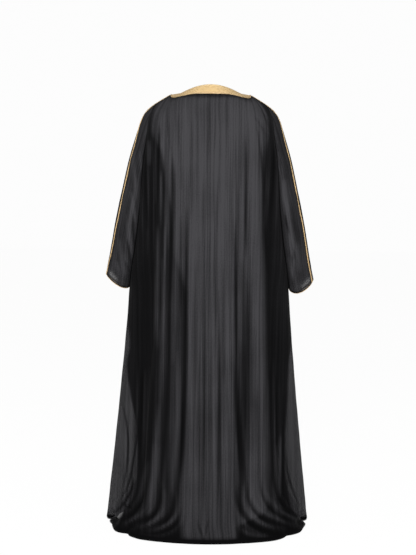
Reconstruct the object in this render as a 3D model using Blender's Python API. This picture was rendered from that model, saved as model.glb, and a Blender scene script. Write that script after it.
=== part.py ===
"""Bisht cloak, held open and hollow in its worn form.

Units are metres and +Z is up. The back of the cloak faces +Y and its left side is at +X. The origin is the
middle of the neck opening, at the height where the shoulders carry the cloth. Heights in the tables are above
the floor, and DROP takes them to this frame.
"""

import math
from collections import namedtuple

import bmesh
import bpy
import numpy as np

# Driving dimensions
HELD_HEIGHT = 1.54
DROP = np.array([0.0, 0.0, -HELD_HEIGHT])
WALL = 0.002
SEAM_GAP = 0.0003
SEAM_LINE_Y = -0.022
NECK_HALF = 0.108
BAND_HALF = 0.148
SHOULDER_HALF = 0.205
BAND_CREST = 1.556
BAND_FOOT = 1.549
SHOULDER_CREST = 1.515
NAPE_TOP = 1.583
NAPE_TOP_Y = 0.055
CORD_WIDTH = 0.006
CORD_HEIGHT = 0.002
PIPING_RADIUS = 0.0015

# The lower edge of the neckband, by share of the way from the nape to the shoulder seam: it dips over the
# shoulder blade and climbs to the seam.
NeckPoint = namedtuple("NeckPoint", "share x y height")
NECK_FOOT = (
    NeckPoint(0.00, 0.000, 0.080, 1.5470),
    NeckPoint(0.10, 0.021, 0.080, 1.5470),
    NeckPoint(0.25, 0.052, 0.076, 1.5470),
    NeckPoint(0.50, 0.098, 0.062, 1.5410),
    NeckPoint(0.75, 0.136, 0.036, 1.5345),
    NeckPoint(0.88, 0.145, 0.012, 1.5370),
    NeckPoint(1.00, 0.148, -0.022, 1.5490),
)

# Horizontal sections of the body: half width, then how far the back and the fronts reach in y, then the y
# where each meets the armhole or the side seam, and the roundness (2 is an ellipse, more is squarer).
Section = namedtuple("Section", "height half_width back front side_back side_front roundness")
SECTIONS = (
    Section(1.420, 0.2280, 0.128, -0.108, 0.046, -0.078, 2.9),
    Section(1.300, 0.2420, 0.147, -0.132, 0.052, -0.086, 2.9),
    Section(1.163, 0.2500, 0.156, -0.150, 0.053, -0.088, 2.8),
    Section(1.000, 0.2670, 0.165, -0.163, 0.044, -0.070, 2.7),
    Section(0.900, 0.2830, 0.171, -0.170, 0.021, -0.030, 2.6),
    Section(0.845, 0.2900, 0.175, -0.174, 0.000, 0.000, 2.5),
    Section(0.724, 0.2985, 0.186, -0.182, 0.000, 0.000, 2.4),
    Section(0.504, 0.3170, 0.211, -0.192, 0.000, 0.000, 2.3),
    Section(0.270, 0.3390, 0.247, -0.203, 0.000, 0.000, 2.2),
    Section(0.100, 0.3560, 0.291, -0.212, 0.000, 0.000, 2.2),
    Section(0.030, 0.3630, 0.331, -0.217, 0.000, 0.000, 2.2),
    Section(0.000, 0.3660, 0.354, -0.220, 0.000, 0.000, 2.2),
)

# Each valley between two folds: its x, then its depth, at five heights.
FOLD_HEIGHTS = (1.42, 1.16, 0.80, 0.43, 0.10)
Fold = namedtuple("Fold", "x_yoke x_chest x_waist x_knee x_hem d_yoke d_chest d_waist d_knee d_hem")
BACK_FOLDS = (
    Fold(-0.198, -0.208, -0.230, -0.238, -0.252, 0.008, 0.022, 0.030, 0.034, 0.036),
    Fold(-0.130, -0.134, -0.150, -0.156, -0.165, 0.001, 0.005, 0.006, 0.006, 0.008),
    Fold(-0.092, -0.101, -0.098, -0.108, -0.115, 0.001, 0.006, 0.013, 0.016, 0.020),
    Fold(-0.028, -0.029, -0.032, -0.042, -0.043, 0.000, 0.003, 0.005, 0.006, 0.007),
    Fold(0.022, 0.020, 0.014, 0.014, 0.019, 0.000, 0.003, 0.004, 0.005, 0.006),
    Fold(0.078, 0.075, 0.076, 0.078, 0.084, 0.001, 0.005, 0.011, 0.012, 0.014),
    Fold(0.138, 0.145, 0.137, 0.132, 0.150, 0.001, 0.006, 0.009, 0.012, 0.014),
    Fold(0.168, 0.172, 0.170, 0.186, 0.200, 0.002, 0.006, 0.008, 0.009, 0.013),
    Fold(0.200, 0.211, 0.214, 0.236, 0.254, 0.008, 0.022, 0.034, 0.036, 0.034),
)
BACK_COLUMNS = (8, 5, 4, 6, 5, 5, 5, 4, 4, 8)
LEFT_FRONT_FOLDS = (
    Fold(0.208, 0.214, 0.236, 0.248, 0.262, 0.006, 0.018, 0.026, 0.028, 0.028),
    Fold(0.176, 0.172, 0.184, 0.194, 0.202, 0.001, 0.006, 0.009, 0.012, 0.014),
    Fold(0.150, 0.122, 0.126, 0.130, 0.138, 0.000, 0.007, 0.013, 0.015, 0.018),
)
RIGHT_FRONT_FOLDS = (
    Fold(0.208, 0.210, 0.230, 0.244, 0.258, 0.006, 0.018, 0.024, 0.029, 0.029),
    Fold(0.176, 0.168, 0.176, 0.190, 0.198, 0.001, 0.007, 0.011, 0.013, 0.015),
    Fold(0.150, 0.116, 0.120, 0.122, 0.130, 0.000, 0.005, 0.010, 0.013, 0.015),
)
FRONT_COLUMNS = (7, 4, 4, 5)
VALLEY_SHARPNESS = 1.6
# The folds spread out where the cloth meets the floor, to this share of their depth over the last stretch.
HEM_FOLD_SHARE = 0.12
HEM_FADE_HEIGHT = 0.16

# The front bands: x of the outer and the inner edge by height.
BandEdge = namedtuple("BandEdge", "height outer inner")
BAND_EDGES = (
    BandEdge(1.42, 0.130, 0.090),
    BandEdge(1.33, 0.103, 0.062),
    BandEdge(1.25, 0.082, 0.041),
    BandEdge(1.15, 0.076, 0.035),
    BandEdge(0.95, 0.074, 0.034),
    BandEdge(0.85, 0.058, 0.034),
    BandEdge(0.78, 0.048, 0.035),
    BandEdge(0.00, 0.050, 0.037),
)
# Across a band: share of its width, and how far it stands proud.
BandStep = namedtuple("BandStep", "share raise_by")
BAND_STEPS = (
    BandStep(0.00, 0.0),
    BandStep(0.05, 0.0012),
    BandStep(0.12, 0.0002),
    BandStep(0.56, 0.0006),
    BandStep(1.00, 0.0),
)

# Rows from the top edge down: shares of the way over the shoulder, then heights, then the turned hem as steps
# outwards and up from the floor outline.
SHOULDER_STEPS = (0.0, 0.34, 0.68)
ARM_HEIGHTS = (1.42, 1.355, 1.285, 1.215, 1.145, 1.075, 1.005, 0.945, 0.892, 0.845)
SKIRT_HEIGHTS = (0.76, 0.66, 0.55, 0.44, 0.33, 0.23, 0.14, 0.07, 0.030)
HemStep = namedtuple("HemStep", "out height")
HEM_STEPS = (HemStep(0.0, 0.009), HemStep(-0.008, 0.0), HemStep(-0.038, 0.0))
NECK_STEPS = sum(BACK_COLUMNS[1:-1])

# The sleeve ridge from the shoulder to the cuff tip, and the drapes between it and the armhole, each placed
# by its share of the way down at the ridge and at the armhole.
RidgePoint = namedtuple("RidgePoint", "x y height")
RIDGE = (
    RidgePoint(0.205, -0.022, 1.515), RidgePoint(0.234, -0.021, 1.486), RidgePoint(0.250, -0.020, 1.456),
    RidgePoint(0.268, -0.018, 1.398), RidgePoint(0.293, -0.012, 1.310), RidgePoint(0.318, -0.004, 1.193),
    RidgePoint(0.342, 0.003, 1.075), RidgePoint(0.362, 0.008, 0.958), RidgePoint(0.3765, 0.010, 0.893),
)
LOBE_COLUMNS = 8
Drape = namedtuple("Drape", "at_ridge at_armhole depth spread")
DRAPES = (
    Drape(0.20, 0.34, 0.005, 0.060),
    Drape(0.40, 0.58, 0.007, 0.060),
    Drape(0.62, 0.80, 0.006, 0.055),
    Drape(0.82, 0.95, 0.005, 0.050),
)
# How far the sleeve stands out behind and before the straight line from armhole to ridge, by share down.
Bulge = namedtuple("Bulge", "share back front")
BULGES = (
    Bulge(0.00, 0.000, 0.000), Bulge(0.12, 0.018, 0.006), Bulge(0.35, 0.040, 0.024),
    Bulge(0.65, 0.046, 0.036), Bulge(0.88, 0.048, 0.044), Bulge(1.00, 0.046, 0.044),
)
# How the two cuffs differ: the sag of the edge, and how far the tip hangs lower and further out.
Cuff = namedtuple("Cuff", "sag drop out")
CUFFS = {"left": Cuff(0.017, 0.0, 0.0), "right": Cuff(0.029, 0.015, 0.004)}
UNDERARM_SPLIT = 0.0036

CLOTH = (0.022, 0.022, 0.024, 1.0)
GOLD = (0.62, 0.42, 0.16, 1.0)


def smooth(at, keys, values):
    """Reads a smooth curve through values at rising keys. It never overshoots, and is level beyond them."""
    keys, values = np.asarray(keys, float), np.asarray(values, float)
    grades = np.diff(values) / np.diff(keys)
    least = 2 * np.minimum(np.abs(grades[1:]), np.abs(grades[:-1])) * (grades[1:] * grades[:-1] > 0)
    slopes = np.gradient(values, keys)
    slopes[1:-1] = np.clip(slopes[1:-1], -least, least)
    i = np.clip(np.searchsorted(keys, at) - 1, 0, len(keys) - 2)
    step = keys[i + 1] - keys[i]
    t = np.clip((at - keys[i]) / step, 0.0, 1.0)
    start = (1 + 2 * t) * (1 - t) ** 2 * values[i] + t * (1 - t) ** 2 * step * slopes[i]
    return start + t**2 * (3 - 2 * t) * values[i + 1] - t**2 * (1 - t) * step * slopes[i + 1]


def column_at(table, field, height):
    """One column of a table of falling heights, read at any height."""
    return smooth(-height, [-row.height for row in table], [getattr(row, field) for row in table])


def outline(height, angle, face):
    """Points of the plain body section and the way out from them; a quarter turn is the side seam."""
    half_width = column_at(SECTIONS, "half_width", height)
    side = column_at(SECTIONS, "side_" + face, height)
    depth = column_at(SECTIONS, face, height) - side
    power = 2 / column_at(SECTIONS, "roundness", height)
    across, along = np.sin(angle), np.clip(np.cos(angle), 0.0, 1.0)
    x = half_width * np.sign(across) * np.abs(across) ** power
    y = side + depth * along**power
    out_x = np.sign(across) * np.abs(across) ** (2 - power) / half_width
    out = np.stack([out_x, along ** (2 - power) / depth, 0 * x], axis=-1)
    out /= np.linalg.norm(out, axis=-1, keepdims=True)
    return np.stack([x, y, 0 * x + height], axis=-1), out


def angle_of(height, x):
    """The angle at which the body section reaches this x."""
    share = np.clip(x / column_at(SECTIONS, "half_width", height), -1.0, 1.0)
    return np.sign(share) * np.arcsin(np.abs(share) ** (column_at(SECTIONS, "roundness", height) / 2))


def spread(anchors, counts):
    """Values running from anchor to anchor in the given numbers of equal steps."""
    runs = [a + (b - a) * np.arange(n) / n for a, b, n in zip(anchors, anchors[1:], counts)]
    return np.concatenate([*runs, [anchors[-1]]])


def hem_fade(height):
    """The share of their depth that the folds keep at this height."""
    t = min(height / HEM_FADE_HEIGHT, 1.0)
    return HEM_FOLD_SHARE + (1 - HEM_FOLD_SHARE) * t * t * (3 - 2 * t)


def fold_value(fold, kind, height):
    """The x or the depth of a fold's valley at this height."""
    values = [getattr(fold, kind + part) for part in ("_yoke", "_chest", "_waist", "_knee", "_hem")]
    value = smooth(-height, [-h for h in FOLD_HEIGHTS], values)
    return value * hem_fade(height) if kind == "d" else value


def valley_depths(depths, counts):
    """Depth at each column, full at each anchor and falling off half way to the next."""
    found = []
    for a, b, n in zip(depths, depths[1:], counts):
        t = np.arange(n) / n
        near, far = (0.5 + 0.5 * np.cos(math.pi * t)), (0.5 - 0.5 * np.cos(math.pi * t))
        found.append(a * near**VALLEY_SHARPNESS + b * far**VALLEY_SHARPNESS)
    return np.concatenate([*found, [depths[-1]]])


def body_row(height, face, angles, depths):
    """One row of a panel: the section with its folds pressed in."""
    points, out = outline(height, angles, face)
    return points - out * depths[:, None]


def body_rows(face, angles_at, depths_at):
    """The rows of a panel below the shoulder, with the turned hem."""
    rows = [body_row(h, face, angles_at(h), depths_at(h)) for h in ARM_HEIGHTS + SKIRT_HEIGHTS]
    floor, out = outline(0.0, angles_at(0.0), face)
    pressed = depths_at(0.0)
    for step in HEM_STEPS:
        row = floor + out * (step.out - pressed)[:, None]
        row[:, 2] = step.height
        rows.append(row)
    return np.array(rows)


def bezier(a, b, c, d, t):
    """A point of the cubic curve with these four handles."""
    return (1 - t) ** 3 * a + 3 * (1 - t) ** 2 * t * b + 3 * (1 - t) * t * t * c + t**3 * d


def over_shoulder(top, leave, below):
    """Rows that leave the top edge and turn down into the first body row."""
    lift = np.array([0.0, 0.0, 0.045])
    return np.array([bezier(top, top + leave, below + lift, below, t) for t in SHOULDER_STEPS])


def shoulder_line(x):
    """The straight shoulder seam, at |x| from the band to the armhole."""
    share = (np.abs(x) - BAND_HALF) / (SHOULDER_HALF - BAND_HALF)
    z = BAND_FOOT + (SHOULDER_CREST - BAND_FOOT) * share
    return np.stack([x, 0 * x + SEAM_LINE_Y, z], axis=-1)


def neck_edges():
    """The lower and the upper edge of the neckband, right to left."""
    turn = np.linspace(-1.0, 1.0, NECK_STEPS + 1)
    shares = [point.share for point in NECK_FOOT]
    x, y, z = (smooth(np.abs(turn), shares, [point[k] for point in NECK_FOOT]) for k in (1, 2, 3))
    lower = np.stack([np.sign(turn) * x, y, z], axis=-1)
    rise = np.clip(np.cos(turn * math.pi / 2), 0.0, 1.0)
    y = SEAM_LINE_Y + (NAPE_TOP_Y - SEAM_LINE_Y) * rise**0.9
    z = BAND_CREST + (NAPE_TOP - BAND_CREST) * rise**1.5
    upper = np.stack([NECK_HALF * np.sin(turn * math.pi / 2), y, z], axis=-1)
    return lower, upper


def back_grid():
    """The back panel, right armhole to left armhole."""
    quarter = math.pi / 2

    def angles_at(height):
        valleys = [angle_of(height, fold_value(fold, "x", height)) for fold in BACK_FOLDS]
        return spread([-quarter, *valleys, quarter], BACK_COLUMNS)

    def depths_at(height):
        return valley_depths([0.0, *(fold_value(f, "d", height) for f in BACK_FOLDS), 0.0], BACK_COLUMNS)

    rows = body_rows("back", angles_at, depths_at)
    right = shoulder_line(spread([-SHOULDER_HALF, -BAND_HALF], BACK_COLUMNS[:1]))[:-1]
    left = shoulder_line(spread([BAND_HALF, SHOULDER_HALF], BACK_COLUMNS[-1:]))[1:]
    top = np.concatenate([right, neck_edges()[0], left])
    crest = np.clip((np.abs(top[:, :1]) - 0.03) / (BAND_HALF - 0.03), 0.0, 1.0)
    leave = (1 - crest) * np.array([0.0, 0.014, -0.036]) + crest * np.array([0.0, 0.055, -0.004])
    return np.concatenate([over_shoulder(top, leave, rows[0]), rows])


def front_edge_angles(height, shares):
    """Angles across a front band, from its outer edge to its inner one."""
    outer = angle_of(height, column_at(BAND_EDGES, "outer", height))
    inner = angle_of(height, column_at(BAND_EDGES, "inner", height))
    return outer + (inner - outer) * shares


def front_grid(folds):
    """A front panel on the left side, armhole to band."""
    first = np.array([0.0])

    def angles_at(height):
        valleys = [angle_of(height, fold_value(fold, "x", height)) for fold in folds]
        return spread([math.pi / 2, *valleys, front_edge_angles(height, first)[0]], FRONT_COLUMNS)

    def depths_at(height):
        return valley_depths([0.0, *(fold_value(f, "d", height) for f in folds), 0.0], FRONT_COLUMNS)

    rows = body_rows("front", angles_at, depths_at)
    top = shoulder_line(np.linspace(SHOULDER_HALF, BAND_HALF, sum(FRONT_COLUMNS) + 1))
    return np.concatenate([over_shoulder(top, np.array([0.0, -0.042, -0.004]), rows[0]), rows])


def band_grid():
    """A front band on the left side, outer edge to inner edge, from the shoulder to the hem."""
    shares = np.array([step.share for step in BAND_STEPS])
    rows = body_rows("front", lambda h: front_edge_angles(h, shares), lambda h: 0.0 * shares)
    lower, upper = neck_edges()
    top = lower[-1] + (upper[-1] - lower[-1]) * shares[:, None]
    return np.concatenate([over_shoulder(top, np.array([0.0, -0.042, -0.004]), rows[0]), rows])


def neckband_grid():
    """The neckband, right shoulder to left shoulder, lower edge first."""
    lower, upper = neck_edges()
    shares = np.array([step.share for step in BAND_STEPS])[None, :, None]
    return lower[:, None] + (upper - lower)[:, None] * shares


def along_line(points, shares):
    """Points at shares of a line's length."""
    steps = np.linalg.norm(np.diff(points, axis=0), axis=1)
    length = np.concatenate([[0.0], np.cumsum(steps)])
    return np.stack([smooth(shares * length[-1], length, points[:, k]) for k in range(3)], axis=-1)


def lobe(edge, ridge, bulge, share, steps):
    """The sleeve's section from the armhole edge out to the ridge."""
    reach = ridge - edge
    side = np.array([0.0, bulge, 0.0])
    flat = edge + reach * steps[:, None]
    leave, arrive = edge + reach * 0.22 + side, ridge - reach * 0.12 + side
    curve = np.array([bezier(edge, leave, arrive, ridge, t) for t in steps])
    bend = min(share / 0.10, 1.0)
    return flat + (curve - flat) * bend


def sleeve_grid(back_armhole, front_armhole, cuff):
    """A left sleeve, from the back armhole over the ridge to the front armhole, shoulder to cuff."""
    steps = np.linspace(0.0, 1.0, LOBE_COLUMNS + 1)
    lengths = np.linalg.norm(np.diff(back_armhole, axis=0), axis=1)
    shares = np.concatenate([[0.0], np.cumsum(lengths)]) / lengths.sum()
    ridge = along_line(np.array(RIDGE, float), shares)
    ridge += shares[:, None] ** 3 * np.array([cuff.out, 0.0, -cuff.drop])
    rows = []
    for k, share in enumerate(shares):
        edges = [back_armhole[k].copy(), front_armhole[k].copy()]
        if k == len(shares) - 1:
            edges[0] += (UNDERARM_SPLIT / 2, UNDERARM_SPLIT, 0.0)
            edges[1] += (UNDERARM_SPLIT / 2, -UNDERARM_SPLIT, 0.0)
        back_bulge = smooth(share, [b.share for b in BULGES], [b.back for b in BULGES])
        front_bulge = smooth(share, [b.share for b in BULGES], [b.front for b in BULGES])
        back = lobe(edges[0], ridge[k], back_bulge, share, steps)
        front = lobe(edges[1], ridge[k], -front_bulge, share, steps)
        row = np.concatenate([back, front[::-1][1:]])
        away = 1 - np.abs(np.linspace(-1.0, 1.0, len(row)))
        row[:, 2] -= cuff.sag * share**8 * np.sin(math.pi * away**0.8)
        press = sum(
            d.depth * np.exp(-(((share - d.at_armhole - (d.at_ridge - d.at_armhole) * away) / d.spread) ** 2))
            for d in DRAPES
        )
        press *= np.sin(math.pi * away) ** 2 * min(share / 0.1, 1.0)
        row[:, 1] -= np.sign(row[:, 1] - ridge[k, 1]) * press
        rows.append(row)
    return np.array(rows)


def grid_normals(points):
    """Normals of a grid of points, from the steps along its rows and columns."""
    normals = np.cross(np.gradient(points, axis=1), np.gradient(points, axis=0))
    return normals / np.linalg.norm(normals, axis=-1, keepdims=True)


def meeting_points(panels):
    """The places of each point that several panels hold."""
    met = {}
    for panel in panels.values():
        keys = np.round(panel.points / 1e-6).astype(np.int64)
        for place in np.ndindex(keys.shape[:2]):
            met.setdefault(tuple(keys[place]), []).append((panel, place))
    return [places for places in met.values() if len(places) > 1]


def edge_ways(points, normals):
    """For each point on the rim of a grid, the way into the panel."""
    ways = np.zeros_like(points)
    for axis in (0, 1):
        p, n, w = (np.moveaxis(a, axis, 0) for a in (points, normals, ways))
        for edge, inner in ((0, 1), (-1, -2)):
            way = np.cross(n[edge], np.gradient(p[edge], axis=0))
            way /= np.linalg.norm(way, axis=-1, keepdims=True)
            w[edge] += way * np.sign(np.sum(way * (p[inner] - p[edge]), axis=-1, keepdims=True))
    return ways


def match_seams(panels):
    """Makes the two walls at each seam parallel and half a gap back from it."""
    meetings = meeting_points(panels)
    for places in meetings:
        mean = sum(panel.normals[place] for panel, place in places)
        for panel, place in places:
            panel.normals[place] = mean / np.linalg.norm(mean)
    set_crest_normals(panels)
    for panel in panels.values():
        panel.ways = edge_ways(panel.points, panel.normals)
    for places in meetings:
        if len(places) == 2:
            (one, here), (other, there) = places
            apart = (one.ways[here] - other.ways[there]) / 2
            apart /= np.linalg.norm(apart)
            one.ways[here], other.ways[there] = apart, -apart


def wall_object(name, outer, inner, material, parts):
    """A closed wall between two grids of points."""
    rows, cols = outer.shape[:2]
    mesh = bmesh.new()
    skins = [
        [[mesh.verts.new(skin[r, c] + DROP) for c in range(cols)] for r in range(rows)]
        for skin in (outer, inner)
    ]
    for skin in skins:
        for r in range(rows - 1):
            for c in range(cols - 1):
                mesh.faces.new((skin[r][c], skin[r][c + 1], skin[r + 1][c + 1], skin[r + 1][c]))
    ring = [(r, 0) for r in range(rows)] + [(rows - 1, c) for c in range(1, cols)]
    ring += [(r, cols - 1) for r in range(rows - 2, -1, -1)] + [(0, c) for c in range(cols - 2, 0, -1)]
    for (r, c), (s, d) in zip(ring, ring[1:] + ring[:1]):
        quad = (skins[0][r][c], skins[0][s][d], skins[1][s][d], skins[1][r][c])
        # Both walls of a seam are split along the same diagonal, so that twisted ones stay parallel.
        first = quad[0].co.z - abs(quad[0].co.x) > quad[1].co.z - abs(quad[1].co.x)
        for corners in ((0, 1, 2), (0, 2, 3)) if first else ((0, 1, 3), (1, 2, 3)):
            mesh.faces.new([quad[k] for k in corners])
    bmesh.ops.recalc_face_normals(mesh, faces=mesh.faces)
    data = bpy.data.meshes.new(name)
    mesh.to_mesh(data)
    mesh.free()
    data.shade_smooth()
    data.materials.append(material)
    obj = bpy.data.objects.new(name, data)
    parts.objects.link(obj)
    return obj


def cord_strip(name, line, normals, material, parts):
    """A flat cord that lies just above a line of panel points."""
    across = np.cross(np.gradient(line, axis=0), normals)
    across /= np.linalg.norm(across, axis=-1, keepdims=True)
    places = np.array([-0.5, -0.25, 0.25, 0.5])
    heights = np.array([0.55, 1.0, 1.0, 0.55]) * CORD_HEIGHT
    base = line[:, None] + across[:, None] * (places * CORD_WIDTH)[None, :, None]
    outer = base + normals[:, None] * (SEAM_GAP + heights)[None, :, None]
    inner = base + normals[:, None] * SEAM_GAP
    return wall_object(name, outer, inner, material, parts)


def piping_tube(name, points, material, parts):
    """A thin round cord through the given points."""
    curve = bpy.data.curves.new(name, "CURVE")
    curve.dimensions = "3D"
    curve.bevel_depth = PIPING_RADIUS
    curve.bevel_resolution = 2
    curve.use_fill_caps = True
    spline = curve.splines.new("POLY")
    spline.points.add(len(points) - 1)
    for target, point in zip(spline.points, points + DROP):
        target.co = (*point, 1.0)
    curve.materials.append(material)
    obj = bpy.data.objects.new(name, curve)
    parts.objects.link(obj)
    return obj


def finish(name, colour, roughness, metallic):
    """A plain material."""
    material = bpy.data.materials.new(name)
    material.use_nodes = True
    shader = material.node_tree.nodes["Principled BSDF"]
    shader.inputs["Base Color"].default_value = colour
    shader.inputs["Roughness"].default_value = roughness
    shader.inputs["Metallic"].default_value = metallic
    return material


class Panel:
    """A grid of outer points and its outward normals, mirrored to the right side where asked."""

    def __init__(self, points, mirrored=False):
        flip = np.array([-1.0 if mirrored else 1.0, 1.0, 1.0])
        self.points = points * flip
        self.normals = grid_normals(points) * flip


def make_panels():
    """Every cloth piece as a grid, with shared seam normals."""
    panels = {"back": Panel(back_grid()), "neckband": Panel(neckband_grid())}
    for side, folds in (("left", LEFT_FRONT_FOLDS), ("right", RIGHT_FRONT_FOLDS)):
        mirrored = side == "right"
        panels["front_" + side] = Panel(front_grid(folds), mirrored)
        panels["front_band_" + side] = Panel(band_grid(), mirrored)
        first = len(SHOULDER_STEPS) - 2
        last = len(SHOULDER_STEPS) + len(ARM_HEIGHTS)
        back_edge = panels["back"].points[first:last, 0 if mirrored else -1]
        front_edge = panels["front_" + side].points[first:last, 0]
        flip = (-1.0, 1.0, 1.0) if mirrored else (1.0, 1.0, 1.0)
        grid = sleeve_grid(back_edge * flip, front_edge * flip, CUFFS[side])
        panels["sleeve_" + side] = Panel(grid, mirrored)
    return panels


def set_crest_normals(panels):
    """Along the straight shoulder seam every piece has the seam's own normal."""
    slope = np.array([BAND_FOOT - SHOULDER_CREST, 0.0, SHOULDER_HALF - BAND_HALF])
    slope /= np.linalg.norm(slope)
    for name, panel in panels.items():
        row, points = panel.normals[0], panel.points[0]
        if name == "back" or name.startswith("front_"):
            on_seam = np.abs(points[:, 1] - SEAM_LINE_Y) < 1e-9
            row[on_seam] = slope * np.stack([np.sign(points[on_seam, 0]), 0 * points[on_seam, 0] + 1,
                                             0 * points[on_seam, 0] + 1], axis=-1)
        if name == "neckband":
            for edge in (0, -1):
                panel.normals[edge] = slope * (np.sign(panel.points[edge][0, 0]), 1, 1)
        if name.startswith("sleeve_"):
            row[LOBE_COLUMNS] = slope * (np.sign(points[0, 0]), 1, 1)
            share = np.linspace(0.0, 1.0, LOBE_COLUMNS + 1)[:, None]
            row[: LOBE_COLUMNS + 1] = row[0] + (row[LOBE_COLUMNS] - row[0]) * share
            row[LOBE_COLUMNS:] = row[LOBE_COLUMNS] + (row[-1] - row[LOBE_COLUMNS]) * share


def build():
    """Makes every piece of the cloak."""
    parts = bpy.data.collections.new("bisht_cloak")
    bpy.context.scene.collection.children.link(parts)
    panels = make_panels()
    match_seams(panels)
    raises = np.array([step.raise_by for step in BAND_STEPS])
    for name, panel in panels.items():
        gold = "band" in name
        material = finish(name, GOLD, 0.42, 0.8) if gold else finish(name, CLOTH, 0.8, 0.0)
        outer = panel.points + panel.ways * SEAM_GAP / 2
        inner = outer - panel.normals * WALL
        if gold:
            outer = outer + panel.normals * raises[None, :, None]
        wall_object(name, outer, inner, material, parts)
    for side in ("left", "right"):
        sleeve = panels["sleeve_" + side]
        ridge = sleeve.points[:, LOBE_COLUMNS]
        ridge_normals = sleeve.normals[:, LOBE_COLUMNS]
        flip = 1.0 if side == "left" else -1.0
        seam = shoulder_line(flip * np.linspace(BAND_HALF + 0.001, SHOULDER_HALF, 4)[:-1])
        normal = panels["front_" + side].normals[0, -1]
        line = np.concatenate([seam, ridge])
        normals = np.concatenate([np.tile(normal, (len(seam), 1)), ridge_normals])
        name = "sleeve_cord_" + side
        cord_strip(name, line, normals, finish(name, GOLD, 0.45, 0.7), parts)
        down = sleeve.points[-1] - sleeve.points[-2]
        down /= np.linalg.norm(down, axis=-1, keepdims=True)
        path = sleeve.points[-1] - sleeve.normals[-1] * WALL / 2 + down * (PIPING_RADIUS + 2 * SEAM_GAP)
        name = "cuff_piping_" + side
        piping_tube(name, path, finish(name, GOLD, 0.45, 0.7), parts)


for leftover in list(bpy.data.objects):
    bpy.data.objects.remove(leftover, do_unlink=True)
build()
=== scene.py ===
"""Bisht cloak: its cloth, gold work and studio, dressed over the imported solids.

Units are metres and +Z is up. The back of the cloak faces +Y and its left side is at +X. Tables give heights
above the floor, and DROP takes them to the frame of the solids.
"""

import logging
import math
from dataclasses import dataclass, field
from enum import Enum
from typing import NamedTuple

import bpy
import numpy as np
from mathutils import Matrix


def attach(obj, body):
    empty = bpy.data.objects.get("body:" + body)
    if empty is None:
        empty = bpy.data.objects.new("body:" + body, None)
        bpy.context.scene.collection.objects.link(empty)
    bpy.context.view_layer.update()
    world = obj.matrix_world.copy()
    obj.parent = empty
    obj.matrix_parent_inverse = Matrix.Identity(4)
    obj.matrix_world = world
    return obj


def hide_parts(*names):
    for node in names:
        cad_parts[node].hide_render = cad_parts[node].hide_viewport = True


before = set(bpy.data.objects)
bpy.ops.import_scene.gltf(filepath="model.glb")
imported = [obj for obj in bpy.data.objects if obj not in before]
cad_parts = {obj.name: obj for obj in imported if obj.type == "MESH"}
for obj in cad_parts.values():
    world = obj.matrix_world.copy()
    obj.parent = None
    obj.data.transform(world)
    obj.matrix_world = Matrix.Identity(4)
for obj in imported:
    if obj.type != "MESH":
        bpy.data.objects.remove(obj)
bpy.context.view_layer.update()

LOG = logging.getLogger("bisht_cloak")
HELD_HEIGHT = 1.54
DROP = np.array([0.0, 0.0, -HELD_HEIGHT])
QUARTER = math.pi / 2
ASIDE_AT_FLOOR = 0.0025
ASIDE_PER_METRE = 0.0029
SHOULDER_LIFT = np.array([0.0, 0.0, 0.045])


class Face(Enum):
    """Which half of the cloak a panel hangs on."""

    BACK = "back"
    FRONT = "front"


SHOULDER_LEAVE = {Face.BACK: np.array([0.0, 0.055, -0.004]), Face.FRONT: np.array([0.0, -0.042, -0.004])}


class Side(Enum):
    """The wearer's left or right, as the sign of x."""

    LEFT = 1.0
    RIGHT = -1.0

    @property
    def word(self) -> str:
        """The side as it stands in the names of pieces."""
        return self.name.lower()

    @property
    def flip(self) -> np.ndarray:
        """The factors that take a left-hand point to this side."""
        return np.array([self.value, 1.0, 1.0])


class Section(NamedTuple):
    """A level section of the body; side_back and side_front are the y where each half ends."""

    height: float
    half_width: float
    back: float
    front: float
    side_back: float
    side_front: float
    roundness: float


SECTIONS = (
    Section(1.420, 0.2280, 0.128, -0.108, 0.046, -0.078, 2.9),
    Section(1.300, 0.2420, 0.147, -0.132, 0.052, -0.086, 2.9),
    Section(1.163, 0.2500, 0.156, -0.150, 0.053, -0.088, 2.8),
    Section(1.000, 0.2670, 0.165, -0.163, 0.044, -0.070, 2.7),
    Section(0.900, 0.2830, 0.171, -0.170, 0.021, -0.030, 2.6),
    Section(0.845, 0.2900, 0.175, -0.174, 0.000, 0.000, 2.5),
    Section(0.724, 0.2985, 0.186, -0.182, 0.000, 0.000, 2.4),
    Section(0.504, 0.3170, 0.211, -0.192, 0.000, 0.000, 2.3),
    Section(0.270, 0.3390, 0.247, -0.203, 0.000, 0.000, 2.2),
    Section(0.100, 0.3560, 0.291, -0.212, 0.000, 0.000, 2.2),
    Section(0.030, 0.3630, 0.331, -0.217, 0.000, 0.000, 2.2),
    Section(0.000, 0.3660, 0.354, -0.220, 0.000, 0.000, 2.2),
)


class Fold(NamedTuple):
    """A valley between two folds: its x, then its depth, at the five FOLD_HEIGHTS."""

    x_yoke: float
    x_chest: float
    x_waist: float
    x_knee: float
    x_hem: float
    d_yoke: float
    d_chest: float
    d_waist: float
    d_knee: float
    d_hem: float


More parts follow.
